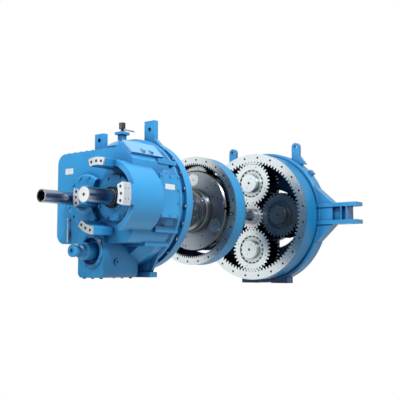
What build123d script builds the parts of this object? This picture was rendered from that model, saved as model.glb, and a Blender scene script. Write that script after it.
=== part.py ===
from build123d import *
import math
import os

# Reduction gearbox with two planetary stages and one parallel stage, in millimetres.
# X is the main axis: the low-speed hub opens at x = 0 and everything else lies at negative x.
# +Z is up and the high-speed shaft lies on the -Y side.
# The three casing groups stand pulled apart along X, as on an assembly stand.

# Fits and clearances
RUN = 0.4            # radial gap where one piece turns in another
SLACK = 3.0          # gap beside turning faces
WIDE = 8.0           # gap round turning gears inside a casing
FLANK = 0.25         # each outer tooth flank is eased back by this much
RING_FLANK = 1.1     # the same in a ring gear
PRESSURE_ANGLE = math.radians(20)
HEX = 2 / math.sqrt(3)

# First stage: four planets between the ring gear and the first sun
RING1_FRONT = -680.0
RING1_LENGTH = 265.0
RING1_R = 850.0
MODULE1 = 16.0
SUN1_TEETH, PLANET1_TEETH = 21, 35
PLANET1_AT = [0, 90, 180, 270]
PLANET1_WIDTH = 250.0
PLANET1_BORE_R = 190.0
PIN1_R = 118.0
PIN1_NOSE = 62.0     # how far a pin stands out of the planet's face
RING1_BOLT_R = 800.0
RING1_BOLTS = 24
RING1_BOLT_START = 7.5
RING1_BOLT_DEPTH = 30.0
RING1_BOLT_HOLE_R = 12.0
PIN1_CENTRE_R = 13.0
PLANET1_RACE_INSET = 6.0

# Low-speed carrier and the casing that carries the torque arms
HUB1_R = 225.0
HUB1_BORE_R = 165.0
HUB1_BORE_DEPTH = 260.0
SPIDER1_THICK = 80.0
SPIDER1_ARM = 280.0
HUB1_BEARING_WIDTH = 90.0
HUB1_BEARING_WALL = 42.0
CASING1_R = 895.0
CASING1_STEP = 95.0  # how far the rim stands out beyond the neck
CASING1_TAPER = 195.0 # how much the cone narrows to the back
CASING1_NECK = 32.0
CASING1_RIM = 165.0
CASING1_CHAMFER = 22.0
CASING1_WALL = 55.0
CASING1_DEPTH = 370.0
SPOKE_WIDTH = 120.0
SPOKE_INSET = 18.0
SPOKE_ROOT = 8.0
FEET1_Y = 240.0
FEET1_HALF = 128.0
FEET1_RISE = 75.0
FEET1_DROP = 4.0
SENSOR_AT = 140
SENSOR_PAD = (70.0, 36.0, 34.0)
HUB_RING_WALL = 48.0

# Torque arms, one on each side, with a clevis eye at the end
ARM_REACH = 1400.0
ARM_ROOT = 165.0     # the gusset ends this far beyond the rim
ARM_HEIGHT = 276.0
ARM_PLATE = 52.0
ARM_WIDTH = 190.0
ARM_Z = 10.0
ARM_WEB = 60.0
EYE_R = 45.0
EYE_INSET = 62.0
EYE_GAP = 130.0      # depth of the open slot between the two ears
RIB_THICK = 16.0

# Lifting eyes
LUG_HOLE_R = 24.0
LUG_THICK = 60.0
EYES1_AT = ((-470.0, 60.0), (580.0, 80.0))      # y of a hole and its height above the rim's radius
EYE1_WIDTH = 112.0
EYE1_LEAN = 100.0
EYE1_INSET = 20.0
FLANGE_EYE = (-165.0, 825.0, 148.0, -110.0, 98.0)   # y, z, width, lean of the foot, height over the hole
BLOCK_EYE = (20.0, 640.0, 130.0, 0.0, 72.0)
FLANGE_EYE_INSET = 15.0
BLOCK_EYE_INSET = 155.0

# Second stage: three planets in the smaller ring gear
RING2_FRONT = -1972.0
RING2_LENGTH = 182.0
RING2_R = 655.0
MODULE2 = 10.0
SUN2_TEETH, PLANET2_TEETH = 37, 38
PLANET2_AT = [90, 210, 330]
PLANET2_WIDTH = 100.0
PLANET2_BORE_R = 120.0
PIN2_R = 76.0
CARRIER2_R = 490.0
CARRIER2_PLATE = 42.0
CARRIER2_REAR_PLATE = 36.0
CARRIER2_RECESS = 26.0
HUB2_R = 262.0
HUB2_LENGTH = 190.0
HUB2_BORE_R = 138.0
OIL_BLOCK_AT = 66
OIL_BLOCK_REACH = (292.0, 350.0)
OIL_BLOCK_WIDTH = 32.0
OIL_BLOCK_THICK = 34.0
CASING2_BACK = 150.0
CASING2_WALL = 40.0
HUB2_BEARING_WALL = 38.0
REAR_HUB2_R = 170.0
RING2_BOLT_R = 616.0
RING2_BOLTS = 24
RING2_BOLT_START = 6.0
RING2_BOLT_DEPTH = 24.0
RING2_BOLT_HOLE_R = 9.6
PIN2_CENTRE_R = 9.0
PLANET2_RACE_INSET = 4.0

# Shafts on the main axis
TUBE_R = 65.0
TUBE_WALL = 11.0
TUBE_CLEAR = 10.0
SUN1_SHAFT_R = 104.0
SUN1_SHAFT_END = -948.0
SUN2_SHAFT_R = 112.0
SUN2_STICKOUT = 76.0

# Third stage: wheel and pinion
MODULE3 = 9.0
WHEEL_TEETH, PINION_TEETH = 73, 19
WHEEL_WIDTH = 120.0
WHEEL_HUB_R = 158.0
WHEEL_BACK = -3190.0
BEARING3_WIDTH = 60.0
BEARING3_WALL = 52.0

# High-speed shaft
HSS_R = 78.0
HSS_STEP = 2.0       # the shaft is this much larger in radius from its collar on
HSS_END = -4105.0
HSS_CHAMFER = 6.0
HSS_NECK = 8.0
HSS_CENTRE_R = 13.0
HSS_CENTRE_DEPTH = 24.0
HSS_COLLAR_NOSE = 54.0
HSS_COLLAR_R = 104.0
HSS_BEARING_WALL = 40.0

# High-speed casing
FLANGE_BACK = -2839.0
FLANGE_THICK = 100.0
FLANGE_R = 710.0
GROOVE_WIDTH = 84.0
GROOVE_R = 668.0
BELL_R = 688.0
BELL_LIP = 26.0
BELL_FRONT_R = 610.0
BELL_FRONT = -3330.0
BELL_CAVITY_R = 560.0
BELL_CAVITY_FRONT = -3045.0
BLOCK_FRONT = -3655.0
BLOCK_BACK = -3120.0
BLOCK_RIGHT, BLOCK_LEFT = -612.0, 480.0
BLOCK_LOW, BLOCK_TOP = -440.0, 512.0
BLOCK_CORNER = 110.0
SUMP_FRONT, SUMP_BACK = -3700.0, -3200.0
SUMP_RIGHT, SUMP_LEFT = -264.0, 96.0
SUMP_LOW = -786.0
SUMP_CORNER = 55.0
FOOT_SIZE = (110.0, 260.0, 56.0)
FOOT_AT = (-3060.0, -230.0)

# Covers on the high-speed casing
HSS_COVER_R = 236.0
HSS_COVER_THICK = 55.0
MAIN_COVER_R = 262.0
MAIN_COVER_THICK = 95.0
SIDE_COVER = (296.0, 24.0, 440.0)
SIDE_COVER_AT = (-3226.0, -700.0, 34.0)
SHOULDER_COVER = (470.0, 190.0, 26.0)
SHOULDER_COVER_AT = (-3400.0, -497.0, 497.0)
SHOULDER_TILT = 45.0
SHROUD_FRONT = -3800.0
SHROUD_MIDDLE, SHROUD_HALF = 166.0, 78.0
SHROUD_STEP = 16.0

# Brake mounts round the high-speed shaft
BRAKE_FRONT = -3952.0
BRAKE_DEPTH = 76.0
BRAKE_SHOE = 20.0
BRAKE_SIDE_SHOE = 100.0
BRAKE_INNER_R = 296.0
LEFT_STEP = 54.0      # the left mount lies this much nearer the shaft
BRAKE_HOLE_R = 11.0
BRAKE_SPAN = 17.0    # half the angle that a shoe covers
BRAKE_HOLE_STEP = 11.5
BRAKE_HOLE_DEPTH = 16.0
BRAKE_MIDDLES = {"top": 90.0, "right": 180.0, "bottom": -66.0, "left": 0.0}

# Shelves on the bell's side: start from its front, end from the groove, then y0, y1, z0 and z1
SHELVES = ((40.0, 20.0, -620.0, -400.0, 372.0, 420.0), (-20.0, 20.0, -640.0, -300.0, -330.0, -270.0),
           (-80.0, -20.0, -560.0, -200.0, -470.0, -410.0))

# Plugs, pump, breather and dipstick
DRAIN_AT = (-3517.0, -628.0)
DRAIN_R = 17.0
DRAIN_HEX = 26.0
LEVEL_AT = (-226.0, -420.0)
LEVEL_HEX = 22.0
PLUG_HEAD = 18.0
PUMP_AT = (-96.0, -520.0)
PUMP_RECESS_R = 132.0
PUMP_RECESS_DEPTH = 60.0
PUMP_R = 84.0
PUMP_NOSE_R = 44.0
PUMP_NOSE = 260.0    # how far the pump's nose stands out of the sump's front
BREATHER_X = -3180.0
BRACKET = (120.0, 110.0, 30.0)
BRACKET_TOP = 775.0
BRACKET_STEM = 34.0
VALVE_R = 24.0
VALVE_TOP = 878.0
TAP_Z = 812.0
TAP_DROP = 14.0
TAP_REACH = 140.0
DIPSTICK_X, DIPSTICK_Y = -3684.0, 274.0
DIPSTICK_LOW, DIPSTICK_TOP = -420.0, -176.0
DIPSTICK_TUBE_TOP = -290.0
DIPSTICK_R = 6.0
DIPSTICK_TUBE_R = 11.0

# Sizes that follow from the ones above
RING1_TEETH = SUN1_TEETH + 2 * PLANET1_TEETH
RING2_TEETH = SUN2_TEETH + 2 * PLANET2_TEETH
CENTRES1 = MODULE1 * (SUN1_TEETH + PLANET1_TEETH) / 2
CENTRES2 = MODULE2 * (SUN2_TEETH + PLANET2_TEETH) / 2
HSS_Y = -MODULE3 * (WHEEL_TEETH + PINION_TEETH) / 2
RING1_BACK = RING1_FRONT + RING1_LENGTH
CASING1_NECK_R = CASING1_R - CASING1_STEP
CASING1_BACK_R = CASING1_R - CASING1_TAPER
CASING1_FRONT = RING1_BACK + CASING1_NECK
CASING1_BACK = RING1_BACK + CASING1_DEPTH
HUB_RING_R = HUB1_R + RUN + HUB1_BEARING_WALL + HUB_RING_WALL
RING2_BACK = RING2_FRONT + RING2_LENGTH
CASING2_END = RING2_BACK + CASING2_BACK
CARRIER2_FRONT = RING2_FRONT + CARRIER2_RECESS
CARRIER2_INNER = CARRIER2_FRONT + CARRIER2_PLATE
HUB2_END = CARRIER2_FRONT - HUB2_LENGTH
PLANET2_FRONT = CARRIER2_INNER + SLACK
PLANET2_BACK = PLANET2_FRONT + PLANET2_WIDTH
SUN2_END = HUB2_END - SUN2_STICKOUT
MAIN_BORE_R = TUBE_R + TUBE_CLEAR
WHEEL_FRONT = WHEEL_BACK - WHEEL_WIDTH
WHEEL_TIP_R = MODULE3 * (WHEEL_TEETH / 2 + 1)
PINION_TIP_R = MODULE3 * (PINION_TEETH / 2 + 1)
FLANGE_FRONT = FLANGE_BACK - FLANGE_THICK
GROOVE_FRONT = FLANGE_FRONT - GROOVE_WIDTH
MAIN_COVER_FRONT = BLOCK_FRONT - MAIN_COVER_THICK
HSS_COVER_FRONT = BLOCK_FRONT - HSS_COVER_THICK
HSS_BODY_R = HSS_R + HSS_STEP
HSS_COLLAR_FRONT = HSS_COVER_FRONT - HSS_COLLAR_NOSE
PUMP_NOSE_FRONT = SUMP_FRONT - PUMP_NOSE
ASSEMBLED_LENGTH = 2570.0
TUBE_FRONT = -4267.0
ARM_X = CASING1_FRONT + CASING1_RIM / 2


def rod(r, x0, x1, y=0.0, z=0.0):
    """Round bar along X from x0 to x1."""
    return Pos((x0 + x1) / 2, y, z) * Rot(0, 90, 0) * Cylinder(r, x1 - x0)


def ring(outer, inner, x0, x1, y=0.0, z=0.0):
    """Plain ring along X."""
    return rod(outer, x0, x1, y, z) - rod(inner, x0 - 1, x1 + 1, y, z)


def turned(*profile):
    """Body turned about X from points given as (x, radius)."""
    return revolve(make_face(Polyline(*profile, close=True)), Axis.X)


def box(x0, x1, y0, y1, z0, z1):
    """Block between two corners."""
    centre = Pos((x0 + x1) / 2, (y0 + y1) / 2, (z0 + z1) / 2)
    return centre * Box(abs(x1 - x0), abs(y1 - y0), abs(z1 - z0))


def plate(outline, x0, x1):
    """Flat plate across X, from an outline of (y, z) points."""
    return extrude(Plane.YZ.offset(x0) * make_face(Polyline(*outline, close=True)), amount=x1 - x0)


def polar(r, degrees):
    """Point in the YZ plane; zero degrees points along +Y and 90 along +Z."""
    angle = math.radians(degrees)
    return r * math.cos(angle), r * math.sin(angle)


def sector(outer, inner, middle, half, x0, x1, y=0.0, z=0.0):
    """Part of a ring, from middle - half to middle + half degrees."""
    reach = 2 * outer
    corners = [polar(reach, middle - half), polar(reach, middle), polar(reach, middle + half)]
    wedge = plate([(y, z)] + [(y + a, z + b) for a, b in corners], x0, x1)
    return ring(outer, inner, x0, x1, y, z) & wedge


def involute(angle):
    return math.tan(angle) - angle


def half_thickness(teeth, module, r, eased):
    """Half the angle that a tooth covers at radius r; eased is positive where metal is taken off."""
    pitch_r = module * teeth / 2
    base_r = pitch_r * math.cos(PRESSURE_ANGLE)
    at_r = math.acos(min(1.0, base_r / r))
    return math.pi / (2 * teeth) + involute(PRESSURE_ANGLE) - involute(at_r) - eased / pitch_r


def toothed_face(teeth, module, first, outward=True, full=False):
    """Outline of a gear, or of the hole in a ring gear; first is the angle of one tooth, or one space.

    A full flank has a corner on the pitch circle as well as at its root and tip.
    """
    tip_r = module * (teeth / 2 + (1.0 if outward else 1.25))
    root_r = module * (teeth / 2 - (1.25 if outward else 1.0))
    eased = FLANK if outward else -RING_FLANK
    radii = [root_r, module * teeth / 2, tip_r] if full else [root_r, tip_r]
    flank = [(r, half_thickness(teeth, module, r, eased)) for r in radii]
    tooth = [(r, -turn) for r, turn in flank] + flank[::-1]
    points = []
    for k in range(teeth):
        middle = first + 2 * math.pi * k / teeth
        points += [(r * math.cos(middle + turn), r * math.sin(middle + turn)) for r, turn in tooth]
    return make_face(Polyline(*points, close=True))


def gear(teeth, module, first, x0, x1, y=0.0, z=0.0, full=True):
    """Toothed disc along X with one tooth centred at the angle first, in radians."""
    face = toothed_face(teeth, module, first, full=full)
    return extrude(Plane.YZ.offset(x0) * Pos(y, z) * face, amount=x1 - x0)


def ring_gear(outer, teeth, module, first, x0, x1):
    """Ring with inner teeth and one space centred at the angle first, in radians."""
    face = Circle(outer) - toothed_face(teeth, module, first, outward=False)
    return extrude(Plane.YZ.offset(x0) * face, amount=x1 - x0)


def planet_angle(at, sun_first, sun_teeth, planet_teeth):
    """Angle of one tooth of a planet that meshes with a sun; at is the planet's direction in radians."""
    sun_pitch = 2 * math.pi / sun_teeth
    offset = (sun_first - at) % sun_pitch
    return at + math.pi - offset * sun_teeth / planet_teeth + math.pi / planet_teeth


def sun_angle(at, sun_teeth, planet_teeth):
    """Angle of one sun tooth when the planet at this direction has a tooth pointing outwards."""
    return at + (0 if planet_teeth % 2 else math.pi / sun_teeth)


def bolt_heads(size, length, x, places, turn=0.0):
    """Hexagon heads standing on the face at x, towards -X, one at each (y, z) place."""
    heads = []
    for y, z in places:
        hexagon = Plane.YZ.offset(x - length) * Pos(y, z) * RegularPolygon(size * HEX, 6, rotation=turn)
        heads.append(extrude(hexagon, amount=length))
    return Compound(children=heads)


def circle_of(r, count, start=0.0, y=0.0, z=0.0):
    """Evenly spaced (y, z) places on a circle; start is in degrees."""
    return [(y + a, z + b) for a, b in (polar(r, start + 360 * k / count) for k in range(count))]


def rounded_block(x0, x1, y0, y1, z0, z1, corner):
    """Block with its four long edges rounded."""
    outline = Pos((y0 + y1) / 2, (z0 + z1) / 2) * RectangleRounded(y1 - y0, z1 - z0, corner)
    return extrude(Plane.YZ.offset(x0) * outline, amount=x1 - x0)


SUN1_FIRST = sun_angle(math.radians(PLANET1_AT[0]), SUN1_TEETH, PLANET1_TEETH)
SUN2_FIRST = sun_angle(math.radians(PLANET2_AT[0]), SUN2_TEETH, PLANET2_TEETH)


def lifting_eye(x0, x1, y, z_base, z_hole, width, lean=0.0, crest=0.0):
    """Upright plate with a hole, and a foot that widens to one side by lean.

    Its top is round about the hole, or flat at the height crest above it.
    """
    r = width / 2
    waist = (z_hole + z_base) / 2
    outline = [(y - r, z_hole), (y - r, waist), (y - r - max(0, -lean), z_base),
               (y + r + max(0, lean), z_base), (y + r, waist), (y + r, z_hole)]
    body = plate(outline, x0, x1)
    body += box(x0, x1, y - r, y + r, z_hole - 1, z_hole + crest) if crest else rod(r, x0, x1, y, z_hole)
    return body - rod(LUG_HOLE_R, x0 - 1, x1 + 1, y, z_hole)


def torque_arm(side):
    """One arm: top and bottom plates, a web with ribs between them, and an open clevis at the end."""
    x0, x1 = ARM_X - ARM_WIDTH / 2, ARM_X + ARM_WIDTH / 2
    top, low = ARM_Z + ARM_HEIGHT / 2, ARM_Z - ARM_HEIGHT / 2
    inner, root = CASING1_R * 0.8, CASING1_R + ARM_ROOT
    arm = box(x0, x1, side * inner, side * ARM_REACH, top - ARM_PLATE, top)
    arm += box(x0, x1, side * inner, side * ARM_REACH, low, low + ARM_PLATE)
    web_end = ARM_REACH - EYE_GAP
    arm += box(ARM_X - ARM_WEB / 2, ARM_X + ARM_WEB / 2, side * inner, side * web_end, low + 1, top - 1)
    for y in (web_end - RIB_THICK, web_end - 90):
        arm += box(x0, x1, side * y, side * (y + RIB_THICK), low + 1, top - 1)
    flare = CASING1_R * 0.62
    gusset = plate([(side * flare, flare * 1.08), (side * root, top), (side * root, low),
                    (side * flare, -flare * 1.08)], x0 + RIB_THICK, x1 - RIB_THICK)
    eye = Pos(ARM_X, side * (ARM_REACH - EYE_INSET), ARM_Z) * Cylinder(EYE_R, ARM_HEIGHT * 2)
    return arm + gusset - eye


def torque_arm_housing():
    """Rear casing: rim, cone, spokes to the hub ring, torque arms, lifting eyes and foot."""
    x0, xb = RING1_BACK, CASING1_BACK
    rim_back = CASING1_FRONT + CASING1_RIM
    wall = CASING1_WALL
    shell = turned((x0, CASING1_NECK_R - wall), (x0, CASING1_NECK_R), (CASING1_FRONT, CASING1_NECK_R),
                   (CASING1_FRONT, CASING1_R - CASING1_CHAMFER), (CASING1_FRONT + CASING1_CHAMFER, CASING1_R),
                   (rim_back, CASING1_R),
                   (xb, CASING1_BACK_R), (xb, CASING1_BACK_R - wall),
                   (rim_back, CASING1_R - 2 * wall), (CASING1_FRONT + wall, CASING1_NECK_R - wall))
    inside = rod(CASING1_NECK_R - wall, x0 - 1, rim_back)
    for side in (-1, 1):
        shell += torque_arm(side) - inside
    hub_front = xb - HUB1_BEARING_WIDTH
    shell += ring(HUB_RING_R, HUB1_R + RUN + HUB1_BEARING_WALL, hub_front, xb)
    spoke_reach = CASING1_BACK_R - wall / 2
    for at in PLANET1_AT:
        spoke = box(hub_front + SPOKE_INSET, xb - SPOKE_ROOT, HUB_RING_R - SPOKE_ROOT, spoke_reach,
                    -SPOKE_WIDTH / 2, SPOKE_WIDTH / 2)
        shell += Rot(at, 0, 0) * spoke
    eye_back = rim_back - EYE1_INSET
    for y, rise in EYES1_AT:
        base_z = math.sqrt(CASING1_R ** 2 - y ** 2) - wall
        shell += lifting_eye(eye_back - LUG_THICK, eye_back, y, base_z, CASING1_R + rise, EYE1_WIDTH,
                             lean=math.copysign(EYE1_LEAN, y))
    for y in (-FEET1_Y, FEET1_Y):
        shell += box(CASING1_FRONT + SPOKE_INSET / 2, rim_back - SPOKE_INSET / 2, y - FEET1_HALF, y + FEET1_HALF,
                     FEET1_RISE - CASING1_R, -FEET1_DROP - CASING1_R)
    pad_length, pad_rise, pad_half = SENSOR_PAD
    pad = box(rim_back - pad_length, rim_back, CASING1_R - wall, CASING1_R + pad_rise, -pad_half, pad_half)
    return shell + Rot(SENSOR_AT, 0, 0) * pad


def first_ring_gear():
    """Ring gear of the first stage with its bolt holes in the front face."""
    gear_ring = ring_gear(RING1_R, RING1_TEETH, MODULE1, 0.0, RING1_FRONT, RING1_BACK)
    holes = [rod(RING1_BOLT_HOLE_R, RING1_FRONT - 1, RING1_FRONT + RING1_BOLT_DEPTH, y, z)
             for y, z in circle_of(RING1_BOLT_R, RING1_BOLTS, RING1_BOLT_START)]
    return gear_ring - holes


def low_speed_carrier():
    """Hub with the low-speed bore and a four-armed spider that holds the planet pins."""
    front = RING1_BACK + SLACK
    back = front + SPIDER1_THICK
    carrier = rod(HUB1_R + 60, front, back)
    for at in PLANET1_AT:
        y, z = polar(CENTRES1, at)
        arm = box(front, back, 0, CENTRES1, -SPIDER1_ARM / 2, SPIDER1_ARM / 2)
        carrier += Rot(at, 0, 0) * arm + rod(SPIDER1_ARM / 2 + 15, front, back, y, z)
    carrier += rod(HUB1_R, back - 1, 0)
    carrier -= rod(HUB1_BORE_R, -HUB1_BORE_DEPTH, 1)
    carrier -= rod(MAIN_BORE_R, front - 1, 1)
    for at in PLANET1_AT:
        y, z = polar(CENTRES1, at)
        carrier -= rod(PIN1_R, front - 1, back + 1, y, z)
    return carrier


def planet_pins(directions, centres, r, x0, x1, hole_r):
    """The pins of one stage, each with a small centre hole in its nose."""
    pins = []
    for at in directions:
        y, z = polar(centres, at)
        pins.append(rod(r, x0, x1, y, z) - rod(hole_r, x0 - 1, x0 + hole_r, y, z))
    return Compound(children=pins)


def planet_gear(at, stage):
    """One planet gear, bored for its bearing."""
    direction = math.radians(at)
    if stage == 1:
        first = planet_angle(direction, SUN1_FIRST, SUN1_TEETH, PLANET1_TEETH)
        y, z = polar(CENTRES1, at)
        x0 = RING1_FRONT + SLACK
        x1 = x0 + PLANET1_WIDTH
        body = gear(PLANET1_TEETH, MODULE1, first, x0, x1, y, z)
        return body - rod(PLANET1_BORE_R, x0 - 1, x1 + 1, y, z)
    first = planet_angle(direction, SUN2_FIRST, SUN2_TEETH, PLANET2_TEETH)
    y, z = polar(CENTRES2, at)
    body = gear(PLANET2_TEETH, MODULE2, first, PLANET2_FRONT, PLANET2_BACK, y, z)
    return body - rod(PLANET2_BORE_R, PLANET2_FRONT - 1, PLANET2_BACK + 1, y, z)


def planet_bearing(at, stage):
    """Bearing between a planet and its pin, as one ring."""
    if stage == 1:
        y, z = polar(CENTRES1, at)
        x0 = RING1_FRONT + SLACK + PLANET1_RACE_INSET
        x1 = RING1_FRONT + SLACK + PLANET1_WIDTH - PLANET1_RACE_INSET
        return ring(PLANET1_BORE_R, PIN1_R + RUN, x0, x1, y, z)
    y, z = polar(CENTRES2, at)
    x0, x1 = PLANET2_FRONT + PLANET2_RACE_INSET, PLANET2_BACK - PLANET2_RACE_INSET
    return ring(PLANET2_BORE_R, PIN2_R + RUN, x0, x1, y, z)


def first_sun_shaft():
    """First sun gear with the hollow shaft that drives the second carrier."""
    x0 = RING1_FRONT + SLACK
    shaft = gear(SUN1_TEETH, MODULE1, SUN1_FIRST, x0, x0 + PLANET1_WIDTH)
    shaft += rod(SUN1_SHAFT_R, SUN1_SHAFT_END, x0 + 1)
    return shaft - rod(MAIN_BORE_R, SUN1_SHAFT_END - 1, x0 + PLANET1_WIDTH + 1)


def second_ring_gear():
    """Ring gear of the second stage with its bolt holes in the front face."""
    start = math.radians(PLANET2_AT[0])
    gear_ring = ring_gear(RING2_R, RING2_TEETH, MODULE2, start, RING2_FRONT, RING2_BACK)
    holes = [rod(RING2_BOLT_HOLE_R, RING2_FRONT - 1, RING2_FRONT + RING2_BOLT_DEPTH, y, z)
             for y, z in circle_of(RING2_BOLT_R, RING2_BOLTS, RING2_BOLT_START)]
    return gear_ring - holes


def second_casing():
    """Rear wall of the second stage, open in the middle for the carrier's rear hub."""
    seat = REAR_HUB2_R + RUN + HUB2_BEARING_WALL
    back = RING2_BACK + CASING2_BACK
    wall = CASING2_WALL
    return turned((RING2_BACK, RING2_R - 14), (RING2_BACK, RING2_R - 14 - wall), (back - wall, RING2_R - 90 - wall),
                  (back - wall, seat + 60), (back - wall - 40, seat + 44), (back - wall - 40, seat),
                  (back, seat), (back, RING2_R - 90))


def second_carrier():
    """Carrier of the second stage: front plate with its hub collar, posts, rear plate and rear hub."""
    rear_front = PLANET2_BACK + SLACK
    rear_back = rear_front + CARRIER2_REAR_PLATE
    plate_part = turned((CARRIER2_FRONT, 0), (CARRIER2_FRONT, CARRIER2_R - 14), (CARRIER2_FRONT + 14, CARRIER2_R),
                        (CARRIER2_INNER, CARRIER2_R), (CARRIER2_INNER, 0))
    hub = turned((HUB2_END, 0), (HUB2_END, HUB2_R - 46), (HUB2_END + 60, HUB2_R - 46),
                 (HUB2_END + 74, HUB2_R - 16), (CARRIER2_FRONT - 56, HUB2_R - 16),
                 (CARRIER2_FRONT - 44, HUB2_R), (CARRIER2_FRONT + 1, HUB2_R + 8), (CARRIER2_FRONT + 1, 0))
    carrier = plate_part + hub + rod(CARRIER2_R - 40, rear_front, rear_back)
    for at in PLANET2_AT:
        carrier += sector(CARRIER2_R - 50, CENTRES2 - 90, at + 60, 17, CARRIER2_INNER - 1, rear_front + 1)
    carrier += rod(REAR_HUB2_R, rear_back - 1, CASING2_END - 4)
    bore = SUN2_TEETH * MODULE2 / 2 + MODULE2 + WIDE
    carrier -= rod(bore, CARRIER2_INNER - 2, rear_front + 1)
    carrier -= rod(HUB2_BORE_R, HUB2_END - 1, CARRIER2_INNER)
    carrier -= rod(SUN1_SHAFT_R + SLACK, rear_front - 1, CASING2_END)
    for at in PLANET2_AT:
        y, z = polar(CENTRES2, at)
        carrier -= rod(PIN2_R, CARRIER2_FRONT - 60, rear_back + 1, y, z)
    notch = Rot(180, 0, 0) * box(CARRIER2_FRONT - 1, CARRIER2_INNER + 1, CARRIER2_R - 26, CARRIER2_R + 1, -16, 16)
    return carrier - notch


def second_sun_shaft():
    """Second sun gear with the hollow shaft that drives the wheel of the third stage."""
    shaft = gear(SUN2_TEETH, MODULE2, SUN2_FIRST, PLANET2_FRONT, PLANET2_BACK)
    shaft += rod(SUN2_SHAFT_R, SUN2_END, PLANET2_FRONT + 1)
    return shaft - rod(MAIN_BORE_R, SUN2_END - 1, PLANET2_BACK + 1)


def oil_block():
    """Small oil transfer block on the carrier's front plate."""
    inner, outer = OIL_BLOCK_REACH
    half = OIL_BLOCK_WIDTH / 2
    return Rot(OIL_BLOCK_AT, 0, 0) * box(CARRIER2_FRONT - OIL_BLOCK_THICK, CARRIER2_FRONT, inner, outer, -half, half)


def brake_sector(middle, half, front, back, inner=BRAKE_INNER_R):
    """Part of a ring about the high-speed shaft, between two planes across X."""
    return sector(brake_outer(inner), inner, middle, half, front, back, HSS_Y, 0)


def brake_outer(inner):
    """Outer radius; the shroud ends on the same outside surface as the arms."""
    return min(inner, BRAKE_INNER_R) + BRAKE_DEPTH


def brake_radius(name):
    """Inner radius of a brake mount; the left one stays clear of the pitch tube."""
    return BRAKE_INNER_R - LEFT_STEP if name == "left" else BRAKE_INNER_R


def brake_depth(name):
    return BRAKE_SIDE_SHOE if name == "right" else BRAKE_SHOE


def brake_arm(name):
    """Cast arm that carries one brake shoe."""
    front = BRAKE_FRONT + brake_depth(name)
    return brake_sector(BRAKE_MIDDLES[name], BRAKE_SPAN - 1.5, front, BLOCK_FRONT + 5, brake_radius(name))


def shroud():
    """Guard round the high-speed shaft with the round boss behind it."""
    guard = brake_sector(SHROUD_MIDDLE, SHROUD_HALF, SHROUD_FRONT, BLOCK_FRONT + 5, BRAKE_INNER_R + SHROUD_STEP)
    return guard + rod(BRAKE_INNER_R + BRAKE_DEPTH, BLOCK_FRONT + 4, BELL_FRONT - 60, HSS_Y)


def brake_shoe(name):
    """Machined mounting shoe with its row of three tapped holes."""
    inner = brake_radius(name)
    middle = BRAKE_MIDDLES[name]
    shoe = brake_sector(middle, BRAKE_SPAN, BRAKE_FRONT, BRAKE_FRONT + brake_depth(name), inner)
    for step in (-1, 0, 1):
        y, z = polar(inner + BRAKE_DEPTH / 2, middle + step * BRAKE_HOLE_STEP)
        shoe -= rod(BRAKE_HOLE_R, BRAKE_FRONT - 1, BRAKE_FRONT + BRAKE_HOLE_DEPTH, HSS_Y + y, z)
    return shoe


def shoulder_place():
    """Seat of the shoulder cover, on the sloping shoulder above the side."""
    return Pos(*SHOULDER_COVER_AT) * Rot(SHOULDER_TILT, 0, 0)


def casing_ribs():
    """Shelves and gussets on the side of the bell."""
    foot_x, foot_y = FOOT_AT
    low = SUMP_LOW + 20
    foot_web = [(SUMP_RIGHT + 20, -420), (SUMP_RIGHT + 20, low), (foot_y - 90, low), (-520, -400)]
    ribs = plate(foot_web, foot_x - RIB_THICK, foot_x + RIB_THICK)
    for start, end, y0, y1, z0, z1 in SHELVES:
        ribs += box(BELL_FRONT + start, GROOVE_FRONT + end, y0, y1, z0, z1)
    return ribs


def casing_cavity():
    """Room inside for the wheel, the pinion, the bearings and the nose of the second stage."""
    room = rod(BELL_CAVITY_R, BELL_CAVITY_FRONT, FLANGE_BACK + 1)
    room += rod(WHEEL_TIP_R + WIDE, WHEEL_FRONT - WIDE, WHEEL_BACK + WIDE)
    room += rod(PINION_TIP_R + WIDE, WHEEL_FRONT - WIDE, WHEEL_BACK + WIDE, HSS_Y)
    rear = WHEEL_BACK + WIDE
    front = WHEEL_FRONT - WIDE
    room += rod(WHEEL_HUB_R + RUN + BEARING3_WALL, rear - 1, BELL_CAVITY_FRONT + 1)
    room += rod(WHEEL_HUB_R + RUN + BEARING3_WALL, front - BEARING3_WIDTH, front + 1)
    room += rod(HSS_BODY_R + RUN + HSS_BEARING_WALL, rear - 1, rear + BEARING3_WIDTH, HSS_Y)
    room += rod(HSS_BODY_R + RUN + HSS_BEARING_WALL, BLOCK_FRONT - 1, front + 1, HSS_Y)
    room += rod(WHEEL_HUB_R - 20, BLOCK_FRONT - 1, front + 1)
    return room


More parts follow.
